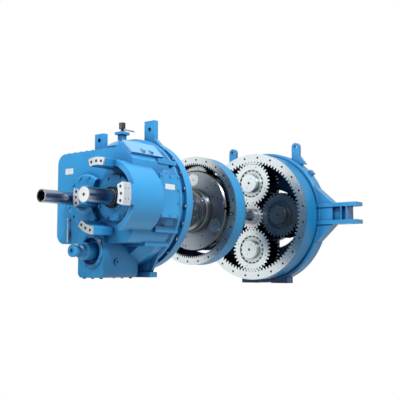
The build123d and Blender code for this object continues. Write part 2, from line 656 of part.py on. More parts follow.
def main_housing():
    """High-speed casing: flange, groove, bell, front block, oil sump, brake arms, ribs, eyes and foot."""
    body = turned((FLANGE_BACK, 0), (FLANGE_BACK, FLANGE_R), (FLANGE_FRONT, FLANGE_R), (FLANGE_FRONT, GROOVE_R),
                  (GROOVE_FRONT, GROOVE_R), (GROOVE_FRONT, BELL_R + BELL_LIP), (GROOVE_FRONT - 30, BELL_R + BELL_LIP),
                  (GROOVE_FRONT - 48, BELL_R), (GROOVE_FRONT - 170, BELL_R), (BELL_FRONT, BELL_FRONT_R),
                  (BELL_FRONT, 0))
    block = rounded_block(BLOCK_FRONT, BLOCK_BACK, BLOCK_RIGHT, BLOCK_LEFT, BLOCK_LOW, BLOCK_TOP, BLOCK_CORNER)
    cut = BLOCK_TOP - BLOCK_LOW
    body += block - shoulder_place() * Pos(0, 0, cut / 2) * Box(cut, cut, cut)
    body += rounded_block(SUMP_FRONT, SUMP_BACK, SUMP_RIGHT, SUMP_LEFT, SUMP_LOW, -300, SUMP_CORNER)
    side_x, side_y, side_z = SIDE_COVER_AT
    pad_x, pad_z = SIDE_COVER[0] / 2 + 14, SIDE_COVER[2] / 2 + 14
    body += box(side_x - pad_x, side_x + pad_x, side_y, -500, side_z - pad_z, side_z + pad_z)
    seat_x, seat_y = SHOULDER_COVER[0] + 24, SHOULDER_COVER[1] + 24
    body += shoulder_place() * Pos(0, 0, -60) * Box(seat_x, seat_y, 120)
    body += casing_ribs()
    for name in BRAKE_MIDDLES:
        body += brake_arm(name)
    body += shroud()
    foot_x, foot_y, foot_z = FOOT_SIZE
    body += Pos(FOOT_AT[0], FOOT_AT[1], SUMP_LOW + foot_z / 2) * Box(foot_x, foot_y, foot_z)
    body += box(FOOT_AT[0] - 40, FOOT_AT[0] + 20, FOOT_AT[1] - 90, FOOT_AT[1] + 90, SUMP_LOW + 1, -560)
    y, z, width, lean, crest = FLANGE_EYE
    x0 = FLANGE_FRONT + FLANGE_EYE_INSET
    body += lifting_eye(x0, x0 + LUG_THICK, y, FLANGE_R - FLANGE_THICK, z, width, lean, crest)
    y, z, width, lean, crest = BLOCK_EYE
    x0 = BLOCK_FRONT + BLOCK_EYE_INSET
    body += lifting_eye(x0, x0 + LUG_THICK, y, BLOCK_TOP - 20, z, width, lean, crest)
    return body - casing_cavity() - pump_recess() - side_holes()


def side_holes():
    """Tapped seats of the drain plug and the level plug in the sump's side and front."""
    drain = Pos(DRAIN_AT[0], SUMP_RIGHT, DRAIN_AT[1]) * Rot(90, 0, 0) * Cylinder(DRAIN_R, 60)
    return drain + rod(DRAIN_R, SUMP_FRONT - 1, SUMP_FRONT + 30, LEVEL_AT[0], LEVEL_AT[1])


def pump_recess():
    return rod(PUMP_RECESS_R, SUMP_FRONT - 1, SUMP_FRONT + PUMP_RECESS_DEPTH, *PUMP_AT)


def oil_pump():
    """Oil pump seated in the sump's front recess, with its round drive flange."""
    y, z = PUMP_AT
    seat = SUMP_FRONT + PUMP_RECESS_DEPTH
    pump = turned((seat, 0), (seat, PUMP_R + 20), (seat - 22, PUMP_R + 20), (seat - 22, PUMP_R - 10),
                  (SUMP_FRONT - 40, PUMP_R - 22), (SUMP_FRONT - 52, PUMP_NOSE_R - 4),
                  (PUMP_NOSE_FRONT + 34, PUMP_NOSE_R - 4), (PUMP_NOSE_FRONT + 34, PUMP_NOSE_R + 10),
                  (PUMP_NOSE_FRONT, PUMP_NOSE_R + 10), (PUMP_NOSE_FRONT, 14), (PUMP_NOSE_FRONT + 20, 14),
                  (PUMP_NOSE_FRONT + 20, 0))
    return Pos(0, y, z) * pump


def high_speed_cover():
    """Round bearing cover of the high-speed shaft with its raised nose."""
    x0, x1 = HSS_COVER_FRONT, BLOCK_FRONT
    bore = HSS_COLLAR_R + RUN
    cover = turned((x1, bore), (x1, HSS_COVER_R), (x0 + 12, HSS_COVER_R), (x0, HSS_COVER_R - 12),
                   (x0, bore + 34), (x0 - 16, bore + 22), (x0 - 16, bore))
    return Pos(0, HSS_Y, 0) * cover


def main_cover():
    """Cover on the main axis, cut back where it meets the high-speed cover and the brake arm."""
    x0, x1 = MAIN_COVER_FRONT, BLOCK_FRONT
    bore = TUBE_R + RUN
    cover = turned((x1, bore), (x1, MAIN_COVER_R), (x0 + 50, MAIN_COVER_R), (x0 + 38, MAIN_COVER_R - 12),
                   (x0 + 38, 150), (x0 + 12, 112), (x0, 112), (x0, bore))
    reach = BRAKE_INNER_R - LEFT_STEP + BRAKE_DEPTH + 1
    return cover - rod(reach, x0 - 1, x1 + 1, HSS_Y)


def tube_seal():
    """Dark labyrinth ring where the pitch tube leaves the main cover."""
    x1 = MAIN_COVER_FRONT
    return ring(TUBE_R + 18, TUBE_R + RUN, x1 - 36, x1)


def side_cover():
    """Inspection cover on the side of the bell."""
    x, y, z = SIDE_COVER_AT
    length, thick, height = SIDE_COVER
    return Pos(x, y - thick / 2, z) * Box(length, thick, height)


def side_cover_places():
    """Bolt places round the side cover, as (x, z)."""
    x, _, z = SIDE_COVER_AT
    along, up = SIDE_COVER[0] / 2 - 22, SIDE_COVER[2] / 2 - 22
    return [(x + a * along, z + b * up) for a in (-1, 0, 1) for b in (-1, -0.33, 0.33, 1) if a or abs(b) == 1]


def side_cover_bolts():
    heads = []
    face = SIDE_COVER_AT[1] - SIDE_COVER[1]
    for x, z in side_cover_places():
        heads.append(extrude(Plane.XZ.offset(-face) * Pos(x, z) * RegularPolygon(9 * HEX, 6), amount=8))
    return Compound(children=heads)


def shoulder_cover():
    """Inspection cover on the sloping shoulder, with two ribs."""
    length, width, thick = SHOULDER_COVER
    cover = Pos(0, 0, thick / 2) * Box(length, width, thick)
    for x in (-60, 60):
        wedge = Polyline((-width / 2 + 14, thick - 1), (-width / 2 + 90, thick - 1), (-width / 2 + 14, thick + 30),
                         close=True)
        cover += extrude(Plane.YZ.offset(x) * make_face(wedge), amount=14)
    return shoulder_place() * cover


def breather_bracket():
    """Cast stand on top of the bell that carries the breather valve."""
    length, width, thick = BRACKET
    stand = Pos(BREATHER_X, 0, BRACKET_TOP - thick / 2) * Box(length, width, thick)
    stand += box(BREATHER_X - BRACKET_STEM, BREATHER_X + BRACKET_STEM, -BRACKET_STEM, BRACKET_STEM,
                 BELL_R - 1, BRACKET_TOP - thick + 1)
    return stand - rod(BELL_R, BREATHER_X - length, BREATHER_X + length)


def breather():
    """Breather valve: stem, body and fluted cap, with a boss for the tap's spindle."""
    stem = Pos(BREATHER_X, 0, (BRACKET_TOP + TAP_Z) / 2) * Cylinder(VALVE_R * 0.7, TAP_Z - BRACKET_TOP)
    cap_faces = Plane.XY.offset(TAP_Z) * RegularPolygon(VALVE_R * 1.5, 12)
    boss = Pos(BREATHER_X, -VALVE_R, TAP_Z - TAP_DROP) * Rot(90, 0, 0) * Cylinder(9, VALVE_R)
    return stem + Pos(BREATHER_X, 0, 0) * extrude(cap_faces, amount=VALVE_TOP - TAP_Z) + boss


def breather_tap():
    """Lever of the breather's tap, which turns about Y on the boss."""
    y0 = -VALVE_R * 1.5 - 0.5
    z = TAP_Z - TAP_DROP
    hub = Pos(BREATHER_X, y0 - 7, z) * Rot(90, 0, 0) * Cylinder(15, 14)
    blade = box(BREATHER_X + 4, BREATHER_X + TAP_REACH, y0 - 11, y0 - 3, z - 8, z + 8)
    return hub + blade


def dipstick_tube():
    """Guide tube of the oil dipstick, held to the front wall by a lug."""
    height = DIPSTICK_TUBE_TOP - DIPSTICK_LOW
    tube = Pos(DIPSTICK_X, DIPSTICK_Y, DIPSTICK_LOW + height / 2) * Cylinder(DIPSTICK_TUBE_R, height)
    lug = box(DIPSTICK_X, BLOCK_FRONT, DIPSTICK_Y - 9, DIPSTICK_Y + 9, DIPSTICK_LOW + 50, DIPSTICK_LOW + 110)
    bore = Pos(DIPSTICK_X, DIPSTICK_Y, DIPSTICK_LOW + 8 + height / 2) * Cylinder(DIPSTICK_R + 0.5, height)
    return tube + lug - bore


def dipstick():
    """Oil dipstick with its finger knob."""
    low = DIPSTICK_LOW + 12
    rod_height = DIPSTICK_TOP - low
    stick = Pos(DIPSTICK_X, DIPSTICK_Y, low + rod_height / 2) * Cylinder(DIPSTICK_R, rod_height)
    return stick + Pos(DIPSTICK_X, DIPSTICK_Y, DIPSTICK_TOP - 9) * Cylinder(13, 18)


def drain_plug():
    """Hexagon drain plug in the side of the sump."""
    x, z = DRAIN_AT
    plug = Pos(x, SUMP_RIGHT + 10, z) * Rot(90, 0, 0) * Cylinder(DRAIN_R, 20)
    head = Plane.XZ.offset(-SUMP_RIGHT) * Pos(x, z) * RegularPolygon(DRAIN_HEX * HEX, 6)
    return plug + extrude(head, amount=PLUG_HEAD)


def level_plug():
    """Hexagon level plug in the front of the sump."""
    y, z = LEVEL_AT
    plug = rod(DRAIN_R, SUMP_FRONT - 1, SUMP_FRONT + 20, y, z)
    return plug + bolt_heads(LEVEL_HEX, PLUG_HEAD, SUMP_FRONT, [(y, z)]).children[0]


def wheel():
    """Wheel of the third stage with its hollow splined hub."""
    front = WHEEL_FRONT - WIDE - BEARING3_WIDTH + 4
    body = gear(WHEEL_TEETH, MODULE3, 0.0, WHEEL_FRONT, WHEEL_BACK, full=False)
    body += rod(WHEEL_HUB_R, front, BELL_CAVITY_FRONT + 8)
    body -= rod(SUN2_SHAFT_R + SLACK, front - 1, BELL_CAVITY_FRONT + 9)
    return body


def high_speed_shaft():
    """High-speed shaft with its pinion; the tooth next to the wheel sits in a space of the wheel."""
    facing = math.pi
    wheel_offset = (0.0 - facing) % (2 * math.pi / WHEEL_TEETH)
    first = facing + math.pi - wheel_offset * WHEEL_TEETH / PINION_TEETH + math.pi / PINION_TEETH
    rear = WHEEL_BACK + WIDE + BEARING3_WIDTH - 4
    shaft = gear(PINION_TEETH, MODULE3, first, WHEEL_FRONT, WHEEL_BACK, HSS_Y, full=False)
    neck = HSS_R - HSS_NECK
    core = turned((rear, 0), (rear, HSS_BODY_R), (WHEEL_BACK, neck), (WHEEL_FRONT, neck),
                  (WHEEL_FRONT - WIDE, HSS_BODY_R), (HSS_COLLAR_FRONT, HSS_BODY_R), (HSS_COLLAR_FRONT, HSS_R),
                  (HSS_END + HSS_CHAMFER, HSS_R), (HSS_END, HSS_R - HSS_CHAMFER), (HSS_END, 0))
    return shaft + Pos(0, HSS_Y, 0) * core - rod(HSS_CENTRE_R, HSS_END - 1, HSS_END + HSS_CENTRE_DEPTH, HSS_Y)


def shaft_collar():
    """Dark labyrinth collar shrunk on the shaft where it leaves its cover."""
    return ring(HSS_COLLAR_R, HSS_BODY_R, HSS_COLLAR_FRONT, BLOCK_FRONT - 10, HSS_Y)


def pitch_tube():
    """Hollow tube on the main axis, open from end to end."""
    return ring(TUBE_R, TUBE_R - TUBE_WALL, TUBE_FRONT, TUBE_FRONT + ASSEMBLED_LENGTH)


def groove_bolts():
    """Bolts in the groove that hold the flange to the second ring gear."""
    places = circle_of((GROOVE_R + FLANGE_R) / 2, RING2_BOLTS, 4.0)
    return bolt_heads(15, 18, FLANGE_FRONT, places)


def build_parts():
    """Every node by name."""
    hub_seat = HUB1_R + RUN + HUB1_BEARING_WALL
    seat2 = REAR_HUB2_R + RUN + HUB2_BEARING_WALL
    seat3 = WHEEL_HUB_R + RUN + BEARING3_WALL
    hss_bore = HSS_BODY_R + RUN
    hss_seat = hss_bore + HSS_BEARING_WALL
    gear_rear, gear_front = WHEEL_BACK + WIDE, WHEEL_FRONT - WIDE
    spider_back = RING1_BACK + SLACK + SPIDER1_THICK
    pin1_front = RING1_FRONT + SLACK - PIN1_NOSE
    parts = {
        "torque_arm_housing": torque_arm_housing(),
        "first_ring_gear": first_ring_gear(),
        "low_speed_bearing": ring(hub_seat, HUB1_R + RUN, CASING1_BACK - HUB1_BEARING_WIDTH, CASING1_BACK),
        "low_speed_retainer": ring(hub_seat + 30, HUB1_R + RUN + 6, CASING1_BACK, CASING1_BACK + 16),
        "low_speed_carrier": low_speed_carrier(),
        "first_planet_pins": planet_pins(PLANET1_AT, CENTRES1, PIN1_R, pin1_front, spider_back, PIN1_CENTRE_R),
        "first_sun_shaft": first_sun_shaft(),
        "second_ring_gear": second_ring_gear(),
        "second_casing": second_casing(),
        "second_carrier_bearing": ring(seat2, REAR_HUB2_R + RUN, CASING2_END - CASING2_WALL - 30, CASING2_END - 6),
        "second_carrier": second_carrier(),
        "oil_block": oil_block(),
        "second_planet_pins": planet_pins(PLANET2_AT, CENTRES2, PIN2_R, CARRIER2_FRONT,
                                          PLANET2_BACK + SLACK + CARRIER2_REAR_PLATE, PIN2_CENTRE_R),
        "second_sun_shaft": second_sun_shaft(),
        "main_housing": main_housing(),
        "groove_bolts": groove_bolts(),
        "high_speed_cover": high_speed_cover(),
        "high_speed_cover_bolts": bolt_heads(13, 14, HSS_COVER_FRONT,
                                             circle_of(HSS_COVER_R - 26, 8, 22.5, HSS_Y)),
        "main_cover": main_cover(),
        "main_cover_bolts": bolt_heads(13, 14, MAIN_COVER_FRONT + 38,
                                       [polar(MAIN_COVER_R - 30, a) for a in (-105, -75, -45, -15, 15, 45, 75, 105)]),
        "tube_seal": tube_seal(),
        "side_cover": side_cover(),
        "side_cover_bolts": side_cover_bolts(),
        "shoulder_cover": shoulder_cover(),
        "breather_bracket": breather_bracket(),
        "breather": breather(),
        "breather_tap": breather_tap(),
        "dipstick_tube": dipstick_tube(),
        "dipstick": dipstick(),
        "drain_plug": drain_plug(),
        "level_plug": level_plug(),
        "oil_pump": oil_pump(),
        "wheel": wheel(),
        "wheel_front_bearing": ring(seat3, WHEEL_HUB_R + RUN, gear_front - BEARING3_WIDTH, gear_front),
        "wheel_rear_bearing": ring(seat3, WHEEL_HUB_R + RUN, gear_rear + 20, gear_rear + 20 + BEARING3_WIDTH),
        "high_speed_shaft": high_speed_shaft(),
        "shaft_collar": shaft_collar(),
        "shaft_front_bearing": ring(hss_seat, hss_bore, BLOCK_FRONT, BLOCK_FRONT + BEARING3_WIDTH + 20, HSS_Y),
        "shaft_rear_bearing": ring(hss_seat, hss_bore, gear_rear, gear_rear + BEARING3_WIDTH, HSS_Y),
        "pitch_tube": pitch_tube(),
    }
    for number, at in enumerate(PLANET1_AT, 1):
        parts[f"first_planet_gear_{number}"] = planet_gear(at, 1)
        parts[f"first_planet_bearing_{number}"] = planet_bearing(at, 1)
    for number, at in enumerate(PLANET2_AT, 1):
        parts[f"second_planet_gear_{number}"] = planet_gear(at, 2)
        parts[f"second_planet_bearing_{number}"] = planet_bearing(at, 2)
    for name in BRAKE_MIDDLES:
        parts[f"brake_shoe_{name}"] = brake_shoe(name)
    return parts


if __name__ == "__main__":
    os.makedirs("parts", exist_ok=True)
    for node, shape in build_parts().items():
        export_step(shape, f"parts/{node}.step")
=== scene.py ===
import math
import bmesh
import bpy
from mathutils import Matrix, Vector


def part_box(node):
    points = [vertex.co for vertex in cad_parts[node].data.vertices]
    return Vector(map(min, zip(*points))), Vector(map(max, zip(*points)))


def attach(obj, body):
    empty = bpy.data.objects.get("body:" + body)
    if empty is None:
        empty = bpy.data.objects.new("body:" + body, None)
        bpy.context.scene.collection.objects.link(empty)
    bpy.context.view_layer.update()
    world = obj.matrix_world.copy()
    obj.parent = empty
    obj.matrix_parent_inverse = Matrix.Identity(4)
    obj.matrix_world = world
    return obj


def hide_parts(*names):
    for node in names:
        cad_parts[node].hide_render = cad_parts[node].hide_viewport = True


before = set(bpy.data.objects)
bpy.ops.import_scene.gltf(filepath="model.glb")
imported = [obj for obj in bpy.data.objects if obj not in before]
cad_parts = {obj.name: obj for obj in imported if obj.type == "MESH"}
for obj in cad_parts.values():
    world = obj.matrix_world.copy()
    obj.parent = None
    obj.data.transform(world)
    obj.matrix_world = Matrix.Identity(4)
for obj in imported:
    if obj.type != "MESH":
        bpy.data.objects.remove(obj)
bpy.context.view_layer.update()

bl_info = {
    "name": "Reduction gearbox looks",
    "version": (1, 0, 0),
    "blender": (4, 5, 0),
    "location": "View3D > Sidebar > Gearbox",
    "description": "Finishes, fasteners and stage for the pulled-apart reduction gearbox",
    "category": "Object",
}

# Places on the frame, in metres; X is the main axis and the front looks along -X
FRONT, BACK, RIGHT, UP, DOWN = (-1, 0, 0), (1, 0, 0), (0, -1, 0), (0, 0, 1), (0, 0, -1)
RING1_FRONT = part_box("first_ring_gear")[0][0]
RING1_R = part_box("first_ring_gear")[1][2]
RING2_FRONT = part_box("second_ring_gear")[0][0]
RING2_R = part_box("second_ring_gear")[1][2]
BLOCK_FRONT = -3.655       # front face of the high-speed casing's block
SHAFT_Y = -0.414           # axis of the high-speed shaft
PUMP_AT = (-0.096, -0.520)  # axis of the oil pump, in Y and Z

# Planets: the angle of each one's axis, and the radius that the axes lie on
PLANETS1 = {number: math.radians(90 * (number - 1)) for number in (1, 2, 3, 4)}
PLANETS2 = {number: math.radians(90 + 120 * (number - 1)) for number in (1, 2, 3)}
CENTRES1, CENTRES2 = 0.448, 0.375
OILED_PLANET = 3           # first-stage planet that stands on the side away from the light; its steel is darker, as painted shade


def linear(red, green, blue):
    """Colour from 0 to 255 on a screen, as Blender's linear values."""
    shares = [value / 255 for value in (red, green, blue)]
    return tuple(s / 12.92 if s <= 0.04045 else ((s + 0.055) / 1.055) ** 2.4 for s in shares)


class GearboxLooks(bpy.types.PropertyGroup):
    paint: bpy.props.FloatVectorProperty(
        name="Casing paint", description="Colour of the painted castings",
        subtype="COLOR", size=3, default=linear(34, 136, 192))
    machined: bpy.props.FloatVectorProperty(
        name="Machined steel", description="Colour of turned and ground faces",
        subtype="COLOR", size=3, default=linear(228, 238, 240))
    oiled: bpy.props.FloatVectorProperty(
        name="Oiled steel", description="Colour of the shafts' sides",
        subtype="COLOR", size=3, default=linear(150, 158, 172))
    edge: bpy.props.FloatProperty(
        name="Edge rounding", description="Radius that softens every edge", default=0.004, unit="LENGTH")
    roller_count: bpy.props.IntProperty(
        name="Rollers", description="Roller ends that show round each planet pin", default=18)
    bolt_radius: bpy.props.FloatProperty(
        name="Small bolt radius", description="Head radius of the small bolts",
        default=0.012, unit="LENGTH")
    key_power: bpy.props.FloatProperty(
        name="Key light", description="Power of the large soft lamp", default=760.0)


def looks():
    """The settings that a user would change."""
    return bpy.context.scene.gearbox_looks


# Nodes and node groups

# Sockets of the Mix node for each kind of data: factor, first, second and result
MIX_SOCKETS = {"RGBA": (0, 6, 7, 2), "FLOAT": (0, 2, 3, 0)}


def new_group(kind, name, inputs, outputs):
    """Node group with named sockets; returns the tree, its input node and its output node."""
    tree = bpy.data.node_groups.new(name, kind)
    for label, socket_kind, value in inputs:
        socket = tree.interface.new_socket(label, in_out="INPUT", socket_type=socket_kind)
        if value is not None:
            socket.default_value = value
    for label, socket_kind in outputs:
        tree.interface.new_socket(label, in_out="OUTPUT", socket_type=socket_kind)
    return tree, tree.nodes.new("NodeGroupInput"), tree.nodes.new("NodeGroupOutput")


def add(tree, kind, **settings):
    """New node with its settings."""
    node = tree.nodes.new(kind)
    for key, value in settings.items():
        setattr(node, key, value)
    return node


def feed(tree, socket, value):
    """Sets a socket to a number or a colour, or links an output to it."""
    if isinstance(value, (int, float)):
        socket.default_value = value
    elif isinstance(value, tuple):
        socket.default_value = (*value, 1.0)
    else:
        tree.links.new(value, socket)


def math_node(tree, operation, first, second=None, clamp=False):
    """Math on one or two numbers or outputs; returns the result's output."""
    node = add(tree, "ShaderNodeMath", operation=operation, use_clamp=clamp)
    feed(tree, node.inputs[0], first)
    if second is not None:
        feed(tree, node.inputs[1], second)
    return node.outputs[0]


def mixed(tree, kind, factor, first, second, blend="MIX"):
    """Mix of two numbers or two colours; returns the result's output."""
    node = add(tree, "ShaderNodeMix", data_type=kind, blend_type=blend)
    *entries, result = MIX_SOCKETS[kind]
    for index, value in zip(entries, (factor, first, second)):
        feed(tree, node.inputs[index], value)
    return node.outputs[result]


def mix_colour(tree, factor, first, second, blend="MIX"):
    return mixed(tree, "RGBA", factor, first, second, blend)


def mix_value(tree, factor, first, second):
    return mixed(tree, "FLOAT", factor, first, second)


def noise(tree, where, scale, detail=2.0):
    """Noise between zero and one on a vector."""
    node = add(tree, "ShaderNodeTexNoise")
    node.inputs["Detail"].default_value = detail
    tree.links.new(where, node.inputs["Vector"])
    feed(tree, node.inputs["Scale"], scale)
    return node.outputs[0]


def split(tree, vector):
    """Outputs with the X, Y and Z of a vector."""
    node = add(tree, "ShaderNodeSeparateXYZ")
    tree.links.new(vector, node.inputs[0])
    return node.outputs


def object_place(tree):
    """Object coordinates."""
    return add(tree, "ShaderNodeTexCoord").outputs["Object"]


def axis_radius(tree, where):
    """Distance from the main axis, from split object coordinates."""
    squares = [math_node(tree, "MULTIPLY", where[i], where[i]) for i in (1, 2)]
    return math_node(tree, "SQRT", math_node(tree, "ADD", *squares))


def edge_wear():
    """Mask that is high on outer edges, and the softened normal that goes with it."""
    gain = 9.0
    tree, start, end = new_group(
        "ShaderNodeTree", "edge wear",
        [("Radius", "NodeSocketFloat", 0.004), ("Breakup", "NodeSocketFloat", 14.0)],
        [("Mask", "NodeSocketFloat"), ("Normal", "NodeSocketVector")])
    soft = add(tree, "ShaderNodeBevel", samples=4)
    tree.links.new(start.outputs["Radius"], soft.inputs["Radius"])
    geometry = add(tree, "ShaderNodeNewGeometry")
    dot = add(tree, "ShaderNodeVectorMath", operation="DOT_PRODUCT")
    tree.links.new(soft.outputs[0], dot.inputs[0])
    tree.links.new(geometry.outputs["Normal"], dot.inputs[1])
    turned_away = math_node(tree, "SUBTRACT", 1.0, dot.outputs["Value"])
    patches = noise(tree, object_place(tree), start.outputs["Breakup"], detail=4.0)
    broken = math_node(tree, "MULTIPLY", turned_away, patches)
    tree.links.new(math_node(tree, "MULTIPLY", broken, gain, clamp=True), end.inputs["Mask"])
    tree.links.new(soft.outputs[0], end.inputs["Normal"])
    return tree


def surface_grain():
    """Cast or blasted surface: a fine height and a slow tint."""
    tree, start, end = new_group(
        "ShaderNodeTree", "surface grain",
        [("Fine", "NodeSocketFloat", 240.0), ("Coarse", "NodeSocketFloat", 3.0)],
        [("Height", "NodeSocketFloat"), ("Tint", "NodeSocketFloat")])
    where = object_place(tree)
    for source, result, detail in (("Fine", "Height", 3.0), ("Coarse", "Tint", 5.0)):
        tree.links.new(noise(tree, where, start.outputs[source], detail), end.inputs[result])
    return tree


def turning_lines():
    """Lines left by turning: fine rings about the main axis, and slow stains."""
    streak, stain_scale = 0.004, 5.0
    tree, start, end = new_group(
        "ShaderNodeTree", "turning lines", [("Pitch", "NodeSocketFloat", 320.0)],
        [("Height", "NodeSocketFloat"), ("Tint", "NodeSocketFloat")])
    place = object_place(tree)
    where = split(tree, place)
    angle = math_node(tree, "ARCTAN2", where[2], where[1])
    joined = add(tree, "ShaderNodeCombineXYZ")
    tree.links.new(where[0], joined.inputs[0])
    tree.links.new(axis_radius(tree, where), joined.inputs[1])
    tree.links.new(math_node(tree, "MULTIPLY", angle, streak), joined.inputs[2])
    tree.links.new(noise(tree, joined.outputs[0], start.outputs["Pitch"]), end.inputs["Height"])
    tree.links.new(noise(tree, place, stain_scale), end.inputs["Tint"])
    return tree


def recess_shade():
    """Mask for painted shade: it falls to zero in corners and deep recesses."""
    tree, start, end = new_group(
        "ShaderNodeTree", "recess_shade",
        [("Distance", "NodeSocketFloat", 0.16), ("Floor", "NodeSocketFloat", 0.3)],
        [("Unshaded", "NodeSocketFloat")])
    near = add(tree, "ShaderNodeAmbientOcclusion", samples=4)
    tree.links.new(start.outputs["Distance"], near.inputs["Distance"])
    span = math_node(tree, "SUBTRACT", near.outputs["AO"], start.outputs["Floor"])
    room = math_node(tree, "SUBTRACT", 1.0, start.outputs["Floor"])
    tree.links.new(math_node(tree, "DIVIDE", span, room, clamp=True), end.inputs["Unshaded"])
    return tree


EFFECTS = {"edge wear": edge_wear, "surface grain": surface_grain, "turning lines": turning_lines,
           "recess_shade": recess_shade}


def effect(tree, name, **values):
    """Puts a shared effect into a material with its own values; the group is built the first time."""
    group = bpy.data.node_groups.get(name) or EFFECTS[name]()
    node = add(tree, "ShaderNodeGroup", node_tree=group)
    for key, value in values.items():
        node.inputs[key].default_value = value
    return node.outputs


def bump(tree, height, normal, strength, distance):
    """Bump on a height; without a normal it keeps the surface's own."""
    node = add(tree, "ShaderNodeBump")
    node.inputs["Strength"].default_value = strength
    node.inputs["Distance"].default_value = distance
    tree.links.new(height, node.inputs["Height"])
    if normal:
        tree.links.new(normal, node.inputs["Normal"])
    return node.outputs[0]


# Finishes

# Scales of the grain: fine for the height, coarse for the tint
PAINT_GRAIN = {"Fine": 150.0, "Coarse": 2.2}
PLASTIC_GRAIN = {"Fine": 420.0, "Coarse": 9.0}
FLOOR_GRAIN = {"Fine": 30.0, "Coarse": 0.7}

# Shares of each colour: paint where it is deepest, paint with painted shade in a recess, and steel with
# painted shade on the side away from the light
DEEP_PAINT = 0.8
RECESS_SHADE_SHARES = (0.16, 0.22, 0.36)
SIDE_SHADE = (0.22, 0.26, 0.31)

# Roughness of the paint and of the ring gears' painted rims
PAINT_ROUGHNESS = (0.30, 0.46)
RIM_ROUGHNESS = (0.34, 0.5)

EDGE_WEAR = 0.6            # how much of the paler tone shows on a painted edge
FACE_LIMIT = 0.9           # how squarely along X a surface looks where it counts as an end face
RIM_DEPTH = 0.006          # how far inside the outer radius the rim's paint begins
RIM_START = 0.004          # how far behind the front face it begins
SHADE_START, SHADE_END = -0.22, -0.24  # Y between which the painted shade comes in
FLANK = linear(62, 66, 74)


def toned(colour, share, lift=0.0):
    """Colour scaled and lifted, kept below one."""
    return tuple(min(1.0, c * share + lift) for c in colour)


def filtered(colour, shares):
    """Colour with its own share kept of red, green and blue."""
    return tuple(c * share for c, share in zip(colour, shares))


def opened(material):
    """Tree and Principled BSDF of a material."""
    return material.node_tree, material.node_tree.nodes["Principled BSDF"]


def surface(name):
    """New material; returns it with its tree and its Principled BSDF."""
    material = bpy.data.materials.new(name)
    material.use_nodes = True
    return material, *opened(material)


def source(shader, label):
    """Output that feeds one of the shader's sockets."""
    return shader.inputs[label].links[0].from_socket


def painted(name, colour):
    """Gloss paint on a casting: faint orange peel, slow changes of tone, paler, worn edges and painted
    shade in recesses.
    """
    material, tree, shader = surface(name)
    edge = effect(tree, "edge wear", Radius=looks().edge)
    grain = effect(tree, "surface grain", **PAINT_GRAIN)
    pale, rim = toned(colour, share=1.05, lift=0.015), toned(colour, share=0.72, lift=0.24)
    base = mix_colour(tree, grain["Tint"], toned(colour, DEEP_PAINT), pale)
    worn = mix_colour(tree, math_node(tree, "MULTIPLY", edge["Mask"], EDGE_WEAR), base, rim)
    # Corners and recesses get a darker paint: painted shade.
    shade_mask = effect(tree, "recess_shade", Distance=0.2)
    coat = mix_colour(tree, shade_mask["Unshaded"], filtered(colour, RECESS_SHADE_SHARES), worn)
    peel = bump(tree, grain["Height"], edge["Normal"], strength=0.25, distance=0.0008)
    tree.links.new(coat, shader.inputs["Base Color"])
    tree.links.new(mix_value(tree, grain["Tint"], *PAINT_ROUGHNESS), shader.inputs["Roughness"])
    tree.links.new(peel, shader.inputs["Normal"])
    shader.inputs["Specular IOR Level"].default_value = 0.35
    shader.inputs["Coat Weight"].default_value = 0.1
    shader.inputs["Coat Roughness"].default_value = 0.15
    return material


def steel(name, colour, low=0.2, high=0.3, lines=140.0, score=0.03, soft_edges=True):
    """Turned or ground steel with fine lines, soft stains, bright edges and painted shade in recesses.
    """
    material, tree, shader = surface(name)
    edge = effect(tree, "edge wear", Radius=looks().edge * 0.5)
    turning = effect(tree, "turning lines", Pitch=lines)
    stained, shade = toned(colour, share=0.84), toned(colour, share=0.12)
    bright = toned(colour, share=1.25, lift=0.05)
    base = mix_colour(tree, turning["Tint"], stained, colour)
    worn = mix_colour(tree, edge["Mask"], base, bright)
    # Recesses get a near-black steel colour: painted shade.
    shade_mask = effect(tree, "recess_shade", Distance=0.08, Floor=0.2)
    normal = edge["Normal"] if soft_edges else None
    tree.links.new(mix_colour(tree, shade_mask["Unshaded"], shade, worn), shader.inputs["Base Color"])
    scored = bump(tree, turning["Height"], normal, strength=score, distance=0.0004)
    tree.links.new(mix_value(tree, turning["Height"], low, high), shader.inputs["Roughness"])
    tree.links.new(scored, shader.inputs["Normal"])
    shader.inputs["Metallic"].default_value = 1.0
    return material


def toothed(name, face, flank, low=0.16, high=0.26, **look):
    """Gear steel: bright ground end faces and darker, oiled teeth."""
    material = steel(name, face, low, high, **look)
    tree, shader = opened(material)
    facing_way = split(tree, add(tree, "ShaderNodeTexCoord").outputs["Normal"])
    is_face = math_node(tree, "GREATER_THAN", math_node(tree, "ABSOLUTE", facing_way[0]), FACE_LIMIT)
    bright = source(shader, "Base Color")
    tree.links.new(mix_colour(tree, is_face, flank, bright), shader.inputs["Base Color"])
    return material


def rimmed(name, face, flank, paint, front, radius):
    """Ring gear: bright front face, dark teeth and painted rim."""
    material = toothed(name, face, flank, low=0.2, high=0.26, score=0.01, soft_edges=False)
    tree, shader = opened(material)
    where = split(tree, object_place(tree))
    outside = math_node(tree, "GREATER_THAN", axis_radius(tree, where), radius - RIM_DEPTH)
    behind = math_node(tree, "GREATER_THAN", where[0], front + RIM_START)
    rim = math_node(tree, "MULTIPLY", outside, behind)
    grain = effect(tree, "surface grain", **PAINT_GRAIN)
    coat = mix_colour(tree, grain["Tint"], toned(paint, DEEP_PAINT), paint)
    dull = mix_value(tree, grain["Tint"], *RIM_ROUGHNESS)
    metal, polished = source(shader, "Base Color"), source(shader, "Roughness")
    tree.links.new(mix_colour(tree, rim, metal, coat), shader.inputs["Base Color"])
    tree.links.new(math_node(tree, "SUBTRACT", 1.0, rim), shader.inputs["Metallic"])
    tree.links.new(mix_value(tree, rim, polished, dull), shader.inputs["Roughness"])
    shader.inputs["Specular IOR Level"].default_value = 0.3
    return material


